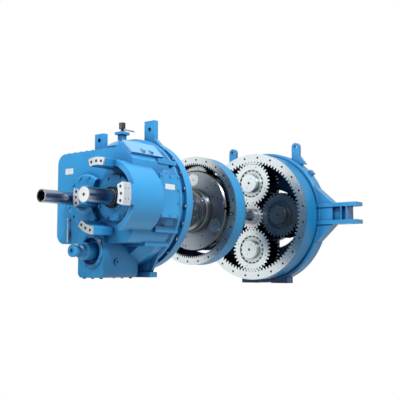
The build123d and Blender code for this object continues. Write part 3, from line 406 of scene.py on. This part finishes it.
def side_shaded(material, start, end):
    """Darkens a finish from one Y to another: painted shade on the side away from the light."""
    tree, shader = opened(material)
    ramp = add(tree, "ShaderNodeMapRange", interpolation_type="SMOOTHSTEP")
    tree.links.new(split(tree, object_place(tree))[1], ramp.inputs["Value"])
    ramp.inputs["From Min"].default_value = start
    ramp.inputs["From Max"].default_value = end
    bright = source(shader, "Base Color")
    dark = mix_colour(tree, 1.0, bright, SIDE_SHADE, "MULTIPLY")
    shown = mix_colour(tree, ramp.outputs["Result"], bright, dark)
    tree.links.new(shown, shader.inputs["Base Color"])
    return material


def moulded(name, colour, roughness):
    """Plastic or rubber with a fine grain."""
    material, tree, shader = surface(name)
    edge = effect(tree, "edge wear", Radius=0.002)
    grain = effect(tree, "surface grain", **PLASTIC_GRAIN)
    spread = 0.1
    tone = mix_colour(tree, grain["Tint"], toned(colour, share=0.7), colour)
    sheen = mix_value(tree, grain["Height"], roughness - spread, roughness + spread)
    skin = bump(tree, grain["Height"], edge["Normal"], strength=0.2, distance=0.0005)
    tree.links.new(tone, shader.inputs["Base Color"])
    tree.links.new(sheen, shader.inputs["Roughness"])
    tree.links.new(skin, shader.inputs["Normal"])
    return material


def finish(material, *nodes):
    """Gives CAD nodes one material."""
    for node in nodes:
        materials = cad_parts[node].data.materials
        materials.clear()
        materials.append(material)


def kept(name, maker, colour, **settings):
    """Material of that name, made once."""
    return bpy.data.materials.get(name) or maker(name, colour, **settings)


def paint_finish():
    return kept("casting paint", painted, tuple(looks().paint))


def zinc_finish():
    return kept("zinc plate", steel, linear(196, 204, 210), low=0.26, high=0.4, lines=900.0)


def shade_finish():
    return kept("roller shadow", moulded, linear(12, 14, 18), roughness=0.55)


# Geometry node trees for what repeats

# Solids of a bolt: sides, then width and height as shares of the head's
HEAD, WASHER = (6, 1.0, 1.0), (20, 1.3, 0.25)
HEAD_HEIGHT = 0.7          # height of a bolt's head as a share of its radius
MARK_SIDES = 24
MARK = 0.0006              # how far a hole's dark mark of painted shade stands proud; closed joints leave one millimetre
SIZES = [("Radius", "NodeSocketFloat", 0.01), ("Height", "NodeSocketFloat", 0.01)]
BAR_SIZES = [("Bar", "NodeSocketVector", None), ("Centre", "NodeSocketVector", None)]


def on_points(name, inputs, shape, spin=None):
    """Tree that puts one shape on every point, makes the copies real and gives them a material."""
    if name in bpy.data.node_groups:
        return bpy.data.node_groups[name]
    sockets = [("Geometry", "NodeSocketGeometry", None), *inputs,
               ("Turn", "NodeSocketVector", None), ("Finish", "NodeSocketMaterial", None)]
    tree, start, end = new_group("GeometryNodeTree", name, sockets, [("Geometry", "NodeSocketGeometry")])
    put = add(tree, "GeometryNodeInstanceOnPoints")
    tree.links.new(start.outputs["Geometry"], put.inputs["Points"])
    tree.links.new(shape(tree, start), put.inputs["Instance"])
    tree.links.new(spin(tree, start) if spin else start.outputs["Turn"], put.inputs["Rotation"])
    real, dressed = add(tree, "GeometryNodeRealizeInstances"), add(tree, "GeometryNodeSetMaterial")
    tree.links.new(put.outputs[0], real.inputs[0])
    tree.links.new(real.outputs[0], dressed.inputs["Geometry"])
    tree.links.new(start.outputs["Finish"], dressed.inputs["Material"])
    tree.links.new(dressed.outputs[0], end.inputs[0])
    return tree


def standing(tree, sides, radius, height):
    """Prism that stands on the origin along Z; radius and height are outputs."""
    body = add(tree, "GeometryNodeMeshCylinder")
    body.inputs["Vertices"].default_value = sides
    tree.links.new(radius, body.inputs["Radius"])
    tree.links.new(height, body.inputs["Depth"])
    lift, raised = add(tree, "ShaderNodeCombineXYZ"), add(tree, "GeometryNodeTransform")
    tree.links.new(math_node(tree, "MULTIPLY", height, 0.5), lift.inputs[2])
    tree.links.new(lift.outputs[0], raised.inputs["Translation"])
    tree.links.new(body.outputs["Mesh"], raised.inputs["Geometry"])
    return raised.outputs[0]


def hex_head(tree, start):
    """Hexagon head on its washer."""
    parts = add(tree, "GeometryNodeJoinGeometry")
    for sides, wide, tall in (HEAD, WASHER):
        radius = math_node(tree, "MULTIPLY", start.outputs["Radius"], wide)
        height = math_node(tree, "MULTIPLY", start.outputs["Height"], tall)
        tree.links.new(standing(tree, sides, radius, height), parts.inputs[0])
    return parts.outputs[0]


def round_mark(tree, start):
    """Disc of painted shade that marks a hole's mouth."""
    return standing(tree, MARK_SIDES, start.outputs["Radius"], start.outputs["Height"])


def flat_bar(tree, start):
    """Bar of the size that the tree is given."""
    bar = add(tree, "GeometryNodeMeshCube")
    tree.links.new(start.outputs["Bar"], bar.inputs["Size"])
    return bar.outputs["Mesh"]


def away_from_centre(tree, start):
    """Rotation about X that points local Y away from the centre."""
    place = add(tree, "GeometryNodeInputPosition")
    away = add(tree, "ShaderNodeVectorMath", operation="SUBTRACT")
    tree.links.new(place.outputs[0], away.inputs[0])
    tree.links.new(start.outputs["Centre"], away.inputs[1])
    along = add(tree, "FunctionNodeAlignEulerToVector", axis="Y", pivot_axis="X")
    tree.links.new(away.outputs[0], along.inputs["Vector"])
    return along.outputs[0]


def facing(direction):
    """Euler angles that turn local Z to a direction."""
    return Vector(UP).rotation_difference(Vector(direction)).to_euler()


def arc_places(x, radius, turns, y=0.0, z=0.0):
    """Points on a circle across X, at angles in degrees from +Y towards +Z."""
    angles = [math.radians(turn) for turn in turns]
    return [(x, y + radius * math.cos(a), z + radius * math.sin(a)) for a in angles]


def round_places(x, radius, count, first=0.0, y=0.0, z=0.0):
    """Evenly spaced points on a circle across X; first is the first one's angle in degrees."""
    return arc_places(x, radius, [first + 360 * k / count for k in range(count)], y, z)


def placed(name, mesh, body):
    """Piece that rides on a body."""
    piece = bpy.data.objects.new(name, mesh)
    bpy.context.scene.collection.objects.link(piece)
    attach(piece, body)
    return piece


def grown(name, tree, places, body, slot, **values):
    """Evaluates a tree once on the places and keeps its mesh as a plain piece that rides on a body."""
    seed_mesh = bpy.data.meshes.new(name + "_seed")
    seed_mesh.from_pydata(places, [], [])
    seed = bpy.data.objects.new(name + "_seed", seed_mesh)
    bpy.context.scene.collection.objects.link(seed)
    modifier = seed.modifiers.new("Grow", "NODES")
    modifier.node_group = tree
    for item in tree.interface.items_tree:
        if item.item_type == "SOCKET" and item.in_out == "INPUT" and item.name in values:
            modifier[item.identifier] = values[item.name]
    evaluated = seed.evaluated_get(bpy.context.evaluated_depsgraph_get())
    mesh = bpy.data.meshes.new_from_object(evaluated)
    bpy.data.objects.remove(seed)
    return placed(name, mesh, body)


def bolts(name, body, places, direction, radius, material=None):
    """Hexagon bolts at the places, with their heads pointing in one direction."""
    tree = on_points("hexagon bolts", SIZES, hex_head)
    return grown(name, tree, places, body, "fastener_steel", Radius=radius, Height=radius * HEAD_HEIGHT,
                 Turn=facing(direction), Finish=material or zinc_finish())


def holes(name, body, places, direction, radius):
    """Painted shade at the mouths of tapped holes: dark discs just proud of the face."""
    tree = on_points("hole shade marks", SIZES, round_mark)
    return grown(name, tree, places, body, "dark_steel", Radius=radius, Height=MARK,
                 Turn=facing(direction), Finish=shade_finish())


def rollers(name, body, places, bar, centre):
    """Ends of flat bars round a centre, as the rollers of a planet's bearing show; they are dark, as
    painted shade.
    """
    tree = on_points("roller ends", BAR_SIZES, flat_bar, away_from_centre)
    return grown(name, tree, places, body, "dark_steel", Bar=Vector(bar), Centre=Vector(centre),
                 Finish=shade_finish())


# Swept and flat pieces

def sweep(shape, profile, centre=(0.0, 0.0), first=0.0, last=360.0, steps=96):
    """Adds a closed (x, radius) profile, swept round X from one angle to another."""
    whole = last - first >= 360
    loops = []
    for k in range(steps if whole else steps + 1):
        angle = math.radians(first + (last - first) * k / steps)
        y, z = math.cos(angle), math.sin(angle)
        loops.append([shape.verts.new((x, centre[0] + radius * y, centre[1] + radius * z))
                      for x, radius in profile])
    for k in range(steps):
        one, two = loops[k], loops[(k + 1) % len(loops)]
        for i in range(len(profile)):
            j = (i + 1) % len(profile)
            shape.faces.new((one[i], one[j], two[j], two[i]))
    if not whole:
        shape.faces.new(loops[0][::-1])
        shape.faces.new(loops[-1])


def band(x0, x1, inner, outer):
    """Rectangular profile of a ring."""
    return [(x0, inner), (x0, outer), (x1, outer), (x1, inner)]


def closed_piece(name, shape, body, material):
    """Turns a shape into a piece with the given material, with its faces pointing outwards."""
    bmesh.ops.recalc_face_normals(shape, faces=shape.faces)
    mesh = bpy.data.meshes.new(name)
    shape.to_mesh(mesh)
    shape.free()
    mesh.materials.append(material)
    return placed(name, mesh, body)


def swept(name, sweeps, body):
    """One painted piece made of several sweeps; each is a dictionary for sweep()."""
    shape = bmesh.new()
    for settings in sweeps:
        sweep(shape, **settings)
    return closed_piece(name, shape, body, paint_finish())


# Blank plates: middle, width, height and the way each one looks
BLANK_PLATES = {"front_blank_plate": ((BLOCK_FRONT, 0.300, 0.321), 0.12, 0.062, FRONT),
                "side_blank_plate": ((-3.226, -0.724, 0.126), 0.15, 0.055, RIGHT)}

# Radius of their corners, how many points make one, and how far a plate stands proud
PLATE_CORNER, CORNER_POINTS, PLATE_PROUD = 0.008, 4, 0.002


def plate_outline(width, height):
    """Points of a rectangle with round corners, about its middle."""
    points = []
    for quarter in range(4):
        diagonal = math.radians(90 * quarter + 45)
        u = math.copysign(width / 2 - PLATE_CORNER, math.cos(diagonal))
        v = math.copysign(height / 2 - PLATE_CORNER, math.sin(diagonal))
        for step in range(CORNER_POINTS):
            angle = math.radians(90 * (quarter + step / (CORNER_POINTS - 1)))
            points.append((u + PLATE_CORNER * math.cos(angle), v + PLATE_CORNER * math.sin(angle)))
    return points


def blank_plate(name, middle, width, height, direction):
    """Blank plate with round corners on a face that looks along -X or -Y."""
    shape = bmesh.new()
    outline = plate_outline(width, height)
    loops = []
    for depth in (0.0, PLATE_PROUD):
        lift = Vector(middle) + depth * Vector(direction)
        flat = [Vector((0.0, u, v) if direction == FRONT else (u, 0.0, v)) for u, v in outline]
        loops.append([shape.verts.new(lift + place) for place in flat])
    for loop in loops:
        shape.faces.new(loop)
    for k in range(len(outline)):
        after = (k + 1) % len(outline)
        shape.faces.new((loops[0][k], loops[0][after], loops[1][after], loops[1][k]))
    material = kept("blank plate", moulded, linear(204, 212, 218), roughness=0.4)
    return closed_piece(name, shape, "high_speed_stage", material)


# Operators, one for each group of like pieces

class GEARBOX_OT_castings(bpy.types.Operator):
    """Paints the castings and covers"""
    bl_idname = "gearbox.castings"
    bl_label = "Castings"

    def execute(self, context):
        finish(paint_finish(), "torque_arm_housing", "second_casing", "main_housing", "high_speed_cover",
               "main_cover", "side_cover", "breather_bracket", "oil_pump", "low_speed_retainer")
        # The shoulder cover gets a paler paint: a painted highlight where the light falls on its top.
        pale = toned(looks().paint, share=0.88, lift=0.12)
        finish(painted("cover paint with painted highlight", pale), "shoulder_cover")
        return {"FINISHED"}


class GEARBOX_OT_gears(bpy.types.Operator):
    """Finishes ring gears, planets and the wheel"""
    bl_idname = "gearbox.gears"
    bl_label = "Gears"

    def execute(self, context):
        face, paint = tuple(looks().machined), tuple(looks().paint)
        first_ring = rimmed("first ring steel", face, FLANK, paint, RING1_FRONT, RING1_R)
        finish(first_ring, "first_ring_gear")
        second_ring = rimmed("second ring steel", face, FLANK, paint, RING2_FRONT, RING2_R)
        finish(second_ring, "second_ring_gear")
        finish(toothed("gear steel", face, FLANK), "wheel",
               *[f"second_planet_gear_{n}" for n in PLANETS2],
               *[f"first_planet_gear_{n}" for n in PLANETS1 if n != OILED_PLANET])
        # The planet on the side away from the light gets darker steel: painted shade.
        finish(toothed("shaded gear steel", filtered(face, SIDE_SHADE), FLANK),
               f"first_planet_gear_{OILED_PLANET}", f"first_planet_bearing_{OILED_PLANET}")
        return {"FINISHED"}


class GEARBOX_OT_shafts(bpy.types.Operator):
    """Finishes shafts, pins, carriers, bearings and brake shoes"""
    bl_idname = "gearbox.shafts"
    bl_label = "Shafts and carriers"

    def execute(self, context):
        machined = tuple(looks().machined)
        # The first stage's pins get painted shade towards -Y, the side away from the light.
        pin_steel = side_shaded(steel("first pin steel", machined), SHADE_START, SHADE_END)
        finish(pin_steel, "first_planet_pins")
        finish(steel("machined steel", machined), "second_planet_pins", "low_speed_bearing",
               "wheel_front_bearing", "wheel_rear_bearing", "shaft_front_bearing", "shaft_rear_bearing",
               "second_carrier_bearing", *[f"second_planet_bearing_{n}" for n in PLANETS2],
               *[f"first_planet_bearing_{n}" for n in PLANETS1 if n != OILED_PLANET])
        shaft_steel = toothed("shaft steel", linear(246, 249, 250), tuple(looks().oiled),
                              low=0.22, high=0.26, score=0.01, soft_edges=False)
        finish(shaft_steel, "first_sun_shaft", "second_sun_shaft", "high_speed_shaft", "pitch_tube")
        carrier_steel = toothed("carrier steel", linear(164, 172, 178), linear(84, 88, 94),
                                low=0.22, high=0.34)
        finish(carrier_steel, "second_carrier", "low_speed_carrier")
        collar_steel = steel("dark collar steel", linear(58, 62, 70), low=0.3, high=0.45)
        finish(collar_steel, "shaft_collar", "tube_seal", "oil_block")
        shoe_steel = steel("brake shoe steel", linear(206, 213, 218), low=0.34, high=0.5, lines=520.0)
        finish(shoe_steel, *[f"brake_shoe_{name}" for name in SHOES])
        return {"FINISHED"}


class GEARBOX_OT_small_parts(bpy.types.Operator):
    """Finishes plugs, bolts, breather and dipstick"""
    bl_idname = "gearbox.small_parts"
    bl_label = "Small parts"

    def execute(self, context):
        finish(zinc_finish(), "groove_bolts", "level_plug", "dipstick", "dipstick_tube", "breather_tap")
        finish(paint_finish(), "drain_plug", "high_speed_cover_bolts", "main_cover_bolts",
               "side_cover_bolts")
        finish(moulded("black cap", linear(18, 19, 22), roughness=0.35), "breather")
        return {"FINISHED"}


# Roller ends of each stage: radius of their circle, and one bar along X, outwards and round the pin
ROLLERS1 = (0.177, (0.004, 0.011, 0.036))
ROLLERS2 = (0.108, (0.003, 0.008, 0.024))

# Marks on each planet: their circle as a share of the rollers', how many, the first angle, the radius
MARK_REACH, MARK_COUNT, MARK_TURN, PLANET_MARK = 1.3, 4, 20.0, 0.007


class GEARBOX_OT_rollers(bpy.types.Operator):
    """Shows the roller ends round every planet pin as dark bars of painted shade"""
    bl_idname = "gearbox.rollers"
    bl_label = "Roller ends"

    def execute(self, context):
        for stage, planets, centres, (circle, bar) in (("first", PLANETS1, CENTRES1, ROLLERS1),
                                                       ("second", PLANETS2, CENTRES2, ROLLERS2)):
            for number, at in planets.items():
                body = f"{stage}_planet_{number}"
                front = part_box(f"{stage}_planet_gear_{number}")[0][0]
                y, z = centres * math.cos(at), centres * math.sin(at)
                places = round_places(front, circle, looks().roller_count, y=y, z=z)
                rollers(f"{stage}_planet_rollers_{number}", body, places, bar, (front, y, z))
                marks = round_places(front, circle * MARK_REACH, MARK_COUNT, MARK_TURN, y, z)
                holes(f"{stage}_planet_marks_{number}", body, marks, FRONT, PLANET_MARK)
        return {"FINISHED"}


# Circles of holes: radius of the circle, how many, and the first one's angle; then a hole's radius
RING1_CIRCLE, RING1_HOLE = (0.800, 24, 7.5), 0.015
RING2_CIRCLE, RING2_HOLE = (0.616, 24, 6.0), 0.0125

# Holes in the first stage's pins: one in the middle, two at angles round it
PIN_MIDDLE = 0.017
PIN_CIRCLE, PIN_TURNS, PIN_HOLE = 0.07, (-65, 115), 0.006

# Holes in the second carrier's plate, which are unevenly spaced: circle and angles
PLATE_INNER = (0.335, (52, 129, 153, 198, 246, 289, 10))
PLATE_OUTER = (0.44, (140, 165, 222, 255, 285, 60, 20))
PLATE_HOLE = 0.010

# Brake shoes about the high-speed shaft: angle of the middle hole, and radius that the holes lie on
SHOES = {"top": (90, 0.334), "right": (180, 0.334), "bottom": (-66, 0.334), "left": (0, 0.280)}
SHOE_SPREAD, SHOE_HOLE = 11.5, 0.0145

# Holes in the outer side of the right shoe, in X and Z
SHOE_SIDE_Y = SHAFT_Y - 0.372 + 0.0035
SHOE_SIDE_PLACES = ((-3.925, 0.045), (-3.885, 0.045), (-3.925, -0.045), (-3.885, -0.045), (-3.868, 0.0))
SHOE_SIDE_HOLE = 0.009

SHAFT_MIDDLE = 0.016
DRAIN_X, DRAIN_Z, DRAIN_HOLE = -3.517, -0.628, 0.014


class GEARBOX_OT_holes(bpy.types.Operator):
    """Darkens the tapped holes in ring gears, pins, shafts and brake shoes with discs of painted shade
    """
    bl_idname = "gearbox.holes"
    bl_label = "Tapped holes"

    def execute(self, context):
        ring1, ring2 = round_places(RING1_FRONT, *RING1_CIRCLE), round_places(RING2_FRONT, *RING2_CIRCLE)
        holes("first_ring_holes", "first_stage", ring1, FRONT, RING1_HOLE)
        holes("second_ring_holes", "second_stage", ring2, FRONT, RING2_HOLE)
        pin_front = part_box("first_planet_pins")[0][0]
        middles = round_places(pin_front, CENTRES1, len(PLANETS1))
        holes("first_pin_centres", "low_speed_carrier", middles, FRONT, PIN_MIDDLE)
        pin_places = [place for _, y, z in middles
                      for place in arc_places(pin_front, PIN_CIRCLE, PIN_TURNS, y, z)]
        holes("first_pin_dots", "low_speed_carrier", pin_places, FRONT, PIN_HOLE)
        plate_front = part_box("second_planet_pins")[0][0]
        plate_places = arc_places(plate_front, *PLATE_INNER) + arc_places(plate_front, *PLATE_OUTER)
        holes("carrier_plate_holes", "second_carrier", plate_places, FRONT, PLATE_HOLE)
        shaft_end = (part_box("high_speed_shaft")[0][0], SHAFT_Y, 0.0)
        holes("shaft_centre", "high_speed_shaft", [shaft_end], FRONT, SHAFT_MIDDLE)
        for name, (middle, radius) in SHOES.items():
            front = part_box(f"brake_shoe_{name}")[0][0]
            turns = (middle - SHOE_SPREAD, middle, middle + SHOE_SPREAD)
            places = arc_places(front, radius, turns, SHAFT_Y)
            holes(f"shoe_holes_{name}", "high_speed_stage", places, FRONT, SHOE_HOLE)
        side_places = [(x, SHOE_SIDE_Y, z) for x, z in SHOE_SIDE_PLACES]
        holes("shoe_side_holes", "high_speed_stage", side_places, RIGHT, SHOE_SIDE_HOLE)
        drain = (DRAIN_X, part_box("drain_plug")[0][1], DRAIN_Z)
        holes("drain_socket", "high_speed_stage", [drain], RIGHT, DRAIN_HOLE)
        return {"FINISHED"}


# Circles of bolts: radius of the circle, how many, and the first one's angle
PLATE_BOLTS = (0.455, 9, 12.0)
HUB_BOLTS = (0.188, 12)
RETAINER_BOLTS = (0.281, 16)
PUMP_RING_BOLTS = (0.152, 8, 22.5)
RETAINER_PROUD = 0.016     # how far the bearing's retainer stands behind the casing
PUMP_RING_FRONT = -3.716

# Rows of bolts on top of the block and under the sump
BLOCK_TOP_X, BLOCK_TOP_Z = -3.615, 0.512
BLOCK_TOP_Y = [0.35 - 0.09 * k for k in range(8)]
SUMP_X, SUMP_Y, SUMP_LOW = (-3.66, -3.24), (-0.2, -0.08, 0.04), -0.786

# Radii of these bolts as shares of the small bolt's
HUB_SHARE, BLOCK_SHARE, SUMP_SHARE = 0.9, 1.4, 1.3


class GEARBOX_OT_bolts(bpy.types.Operator):
    """Adds the small bolts on covers, edges and carriers"""
    bl_idname = "gearbox.bolts"
    bl_label = "Small bolts"

    def execute(self, context):
        small, paint = looks().bolt_radius, paint_finish()
        plate = round_places(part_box("second_planet_pins")[0][0], *PLATE_BOLTS)
        bolts("carrier_plate_bolts", "second_carrier", plate, FRONT, small)
        hub = round_places(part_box("second_carrier")[0][0], *HUB_BOLTS)
        bolts("carrier_hub_bolts", "second_carrier", hub, FRONT, small * HUB_SHARE)
        retainer = round_places(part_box("torque_arm_housing")[1][0] + RETAINER_PROUD, *RETAINER_BOLTS)
        bolts("hub_ring_bolts", "first_stage", retainer, BACK, small)
        block_top = [(BLOCK_TOP_X, y, BLOCK_TOP_Z) for y in BLOCK_TOP_Y]
        bolts("block_top_bolts", "high_speed_stage", block_top, UP, small * BLOCK_SHARE, paint)
        sump = [(x, y, SUMP_LOW) for x in SUMP_X for y in SUMP_Y]
        bolts("sump_bolts", "high_speed_stage", sump, DOWN, small * SUMP_SHARE, paint)
        pump_ring = round_places(PUMP_RING_FRONT, *PUMP_RING_BOLTS, *PUMP_AT)
        bolts("pump_ring_bolts", "high_speed_stage", pump_ring, FRONT, small, paint)
        return {"FINISHED"}


# Profiles round the pump's axis as (x, radius): foot, body, neck, drive flange and its bore
PUMP_PROFILE = [
    (-3.640, 0.002), (-3.640, 0.104), (-3.664, 0.104), (-3.664, 0.092), (-3.800, 0.088),
    (-3.820, 0.070), (-3.860, 0.070), (-3.872, 0.046), (-3.922, 0.046), (-3.926, 0.062),
    (-3.955, 0.062), (-3.960, 0.056), (-3.960, 0.022), (-3.945, 0.020), (-3.945, 0.002)]
PUMP_RING_PROFILE = [
    (-3.698, 0.133), (PUMP_RING_FRONT, 0.136), (PUMP_RING_FRONT, 0.164), (-3.710, 0.170),
    (-3.698, 0.170)]


class GEARBOX_OT_pump(bpy.types.Operator):
    """Adds the stepped oil pump and the ring round it"""
    bl_idname = "gearbox.pump"
    bl_label = "Oil pump"

    def execute(self, context):
        pump_sweeps = [dict(profile=PUMP_PROFILE, centre=PUMP_AT)]
        pump = swept("oil_pump_looks", pump_sweeps, "high_speed_stage")
        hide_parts("oil_pump")
        swept("pump_ring", [dict(profile=PUMP_RING_PROFILE, centre=PUMP_AT)], "high_speed_stage")
        return {"FINISHED"}


# Second stage's casing: wall, drop of the cone from the rim to its back, bearing seat and rear webs
CASING_WALL = 0.04
CONE_OUTSIDE, CONE_CORNER, CONE_INSIDE = 0.076, 0.116, 0.13
SEAT_DEPTH, SEAT_RADII = 0.08, (0.2084, 0.262)
WEB_RADII = (0.25, 0.475)
OUTER_WEB_START, OUTER_WEB_DROP = 0.47, 0.12
OUTER_WEB_SPANS = ((-55, 103), (124, 246))
SPAN_STEPS = 24


class GEARBOX_OT_second_casing(bpy.types.Operator):
    """Adds the second stage's casing with its windowed rear wall"""
    bl_idname = "gearbox.second_casing"
    bl_label = "Second casing"

    def execute(self, context):
        low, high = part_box("second_casing")
        front, back, rim = low[0], high[0], high[2]
        wall = back - CASING_WALL
        cone = [(front, rim - CASING_WALL), (front, rim), (back, rim - CONE_OUTSIDE),
                (back, rim - CONE_INSIDE), (wall, rim - CONE_INSIDE), (wall, rim - CONE_CORNER)]
        seat = band(back - SEAT_DEPTH, back, *SEAT_RADII)
        inner_web = band(wall, back, *WEB_RADII)
        outer_web = band(wall, back, OUTER_WEB_START, rim - OUTER_WEB_DROP)
        sweeps = [dict(profile=profile) for profile in (cone, seat, inner_web)]
        sweeps += [dict(profile=outer_web, first=first, last=last, steps=SPAN_STEPS)
                   for first, last in OUTER_WEB_SPANS]
        casing = swept("second_casing_looks", sweeps, "second_stage")
        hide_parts("second_casing")
        return {"FINISHED"}


class GEARBOX_OT_blank_plates(bpy.types.Operator):
    """Adds the blank plates on the block and on the side cover"""
    bl_idname = "gearbox.blank_plates"
    bl_label = "Blank plates"

    def execute(self, context):
        for name, details in BLANK_PLATES.items():
            blank_plate(name, *details)
        return {"FINISHED"}


REAR_WEB = (-0.082, -0.058, 0.412, 0.665)  # front, back, inner radius and outer radius


class GEARBOX_OT_rear_web(bpy.types.Operator):
    """Adds the ring-shaped web in the torque-arm casing's windows"""
    bl_idname = "gearbox.rear_web"
    bl_label = "Rear web"

    def execute(self, context):
        swept("rear_web", [dict(profile=band(*REAR_WEB))], "first_stage")
        return {"FINISHED"}


# Camera of the photograph
CAMERA_AT = (-8.5625, -5.2762, -0.6669)
CAMERA_YAW, CAMERA_PITCH = 38.0, 5.38
CAMERA_LENS = 63.0
CAMERA_REACH = 200.0

# Lamps: place, what each one is turned to, and size; the front lamp's power is a share of the key's
KEY_AT, KEY_TARGET, KEY_SIZE = (-5.6, -4.4, 5.2), (-3.2, -0.3, 0.0), 1.3
FRONT_LAMP_AT, FRONT_LAMP_TARGET, FRONT_LAMP_SIZE = (-10.0, 1.5, 3.0), (-2.2, 0.0, 0.0), 3.0
FRONT_LAMP_SHARE = 0.38
WORLD_STRENGTH = 0.25      # on the surfaces; the camera and reflections see a strength of one

FLOOR_Z, FLOOR_SIZE = -0.906, 80.0
FLOOR_GREYS = (0.5, 0.56)
CARD_X, CARD_Y, CARD_Z = -4.6, (0.35, 1.6), (-1.4, 3.0)


class GEARBOX_OT_stage(bpy.types.Operator):
    """Floor, world, lamps and camera"""
    bl_idname = "gearbox.stage"
    bl_label = "Stage"

    def execute(self, context):
        scene = context.scene
        add_floor(context)
        light_world(scene)
        lamp("key lamp", KEY_AT, KEY_TARGET, KEY_SIZE, looks().key_power)
        lamp("front lamp", FRONT_LAMP_AT, FRONT_LAMP_TARGET, FRONT_LAMP_SIZE,
             looks().key_power * FRONT_LAMP_SHARE)
        dark_card(scene)
        place_camera(scene)
        scene.view_settings.view_transform = "Standard"
        return {"FINISHED"}


def add_floor(context):
    bpy.ops.mesh.primitive_plane_add(size=FLOOR_SIZE, location=(0.0, 0.0, FLOOR_Z))
    floor = context.object
    floor.name = "studio_floor"
    floor.data.materials.append(floor_finish())


def seen_by_camera(tree):
    """One for camera, glossy and transmission rays."""
    path = add(tree, "ShaderNodeLightPath")
    both = math_node(tree, "MAXIMUM", path.outputs["Is Camera Ray"], path.outputs["Is Glossy Ray"])
    return math_node(tree, "MAXIMUM", both, path.outputs["Is Transmission Ray"])


def light_world(scene):
    """White backdrop for the camera and for reflections, softer light for the surfaces."""
    world = bpy.data.worlds.new("studio")
    scene.world = world
    world.use_nodes = True
    tree = world.node_tree
    background = tree.nodes["Background"]
    background.inputs["Color"].default_value = (1.0, 1.0, 1.0, 1.0)
    strength = mix_value(tree, seen_by_camera(tree), WORLD_STRENGTH, 1.0)
    tree.links.new(strength, background.inputs["Strength"])


def floor_finish():
    """Pale floor that stays white for the camera and keeps a soft shadow."""
    material, tree, shader = surface("pale floor")
    grain = effect(tree, "surface grain", **FLOOR_GRAIN)
    dark, pale = [(grey, grey, grey) for grey in FLOOR_GREYS]
    tree.links.new(mix_colour(tree, grain["Tint"], dark, pale), shader.inputs["Base Color"])
    shader.inputs["Roughness"].default_value = 0.9
    glow, blend = add(tree, "ShaderNodeEmission"), add(tree, "ShaderNodeMixShader")
    tree.links.new(seen_by_camera(tree), blend.inputs[0])
    tree.links.new(shader.outputs[0], blend.inputs[1])
    tree.links.new(glow.outputs[0], blend.inputs[2])
    tree.links.new(blend.outputs[0], tree.nodes["Material Output"].inputs["Surface"])
    return material


def dark_card(scene):
    """Dark card beside the gearbox; only reflections show it, so steel darkens towards one side."""
    corners = [(CARD_X, CARD_Y[i], CARD_Z[j]) for i, j in ((0, 0), (1, 0), (1, 1), (0, 1))]
    mesh = bpy.data.meshes.new("dark_card")
    mesh.from_pydata(corners, [], [(0, 1, 2, 3)])
    mesh.materials.append(moulded("dark card", linear(20, 26, 34), roughness=0.9))
    card = bpy.data.objects.new("dark_card", mesh)
    scene.collection.objects.link(card)
    card.visible_camera = card.visible_diffuse = card.visible_shadow = False


def lamp(name, at, target, size, power):
    """Round soft lamp that is turned to a place."""
    data = bpy.data.lights.new(name, "AREA")
    data.shape = "DISK"
    data.size = size
    data.energy = power
    light = bpy.data.objects.new(name, data)
    bpy.context.scene.collection.objects.link(light)
    light.location = at
    light.rotation_euler = (Vector(target) - Vector(at)).to_track_quat("-Z", "Y").to_euler()


def place_camera(scene):
    data = bpy.data.cameras.new("photo camera")
    data.lens = CAMERA_LENS
    data.clip_end = CAMERA_REACH
    camera = bpy.data.objects.new("photo camera", data)
    scene.collection.objects.link(camera)
    camera.location = CAMERA_AT
    camera.rotation_euler = (math.radians(90 + CAMERA_PITCH), 0.0, math.radians(CAMERA_YAW - 90))
    scene.camera = camera


STEPS = (GEARBOX_OT_castings, GEARBOX_OT_gears, GEARBOX_OT_shafts, GEARBOX_OT_small_parts,
         GEARBOX_OT_rollers, GEARBOX_OT_holes, GEARBOX_OT_bolts, GEARBOX_OT_pump,
         GEARBOX_OT_second_casing, GEARBOX_OT_blank_plates, GEARBOX_OT_rear_web, GEARBOX_OT_stage)


class GEARBOX_PT_panel(bpy.types.Panel):
    bl_idname = "GEARBOX_PT_panel"
    bl_label = "Reduction gearbox"
    bl_space_type = "VIEW_3D"
    bl_region_type = "UI"
    bl_category = "Gearbox"

    def draw(self, context):
        for name in GearboxLooks.__annotations__:
            self.layout.prop(context.scene.gearbox_looks, name)
        for step in STEPS:
            self.layout.operator(step.bl_idname)


CLASSES = (GearboxLooks, *STEPS, GEARBOX_PT_panel)


def register():
    for item in CLASSES:
        bpy.utils.register_class(item)
    bpy.types.Scene.gearbox_looks = bpy.props.PointerProperty(type=GearboxLooks)


def unregister():
    del bpy.types.Scene.gearbox_looks
    for item in reversed(CLASSES):
        bpy.utils.unregister_class(item)


def main():
    register()
    for step in STEPS:
        getattr(bpy.ops.gearbox, step.bl_idname.removeprefix("gearbox."))()


if __name__ == "__main__":
    main()
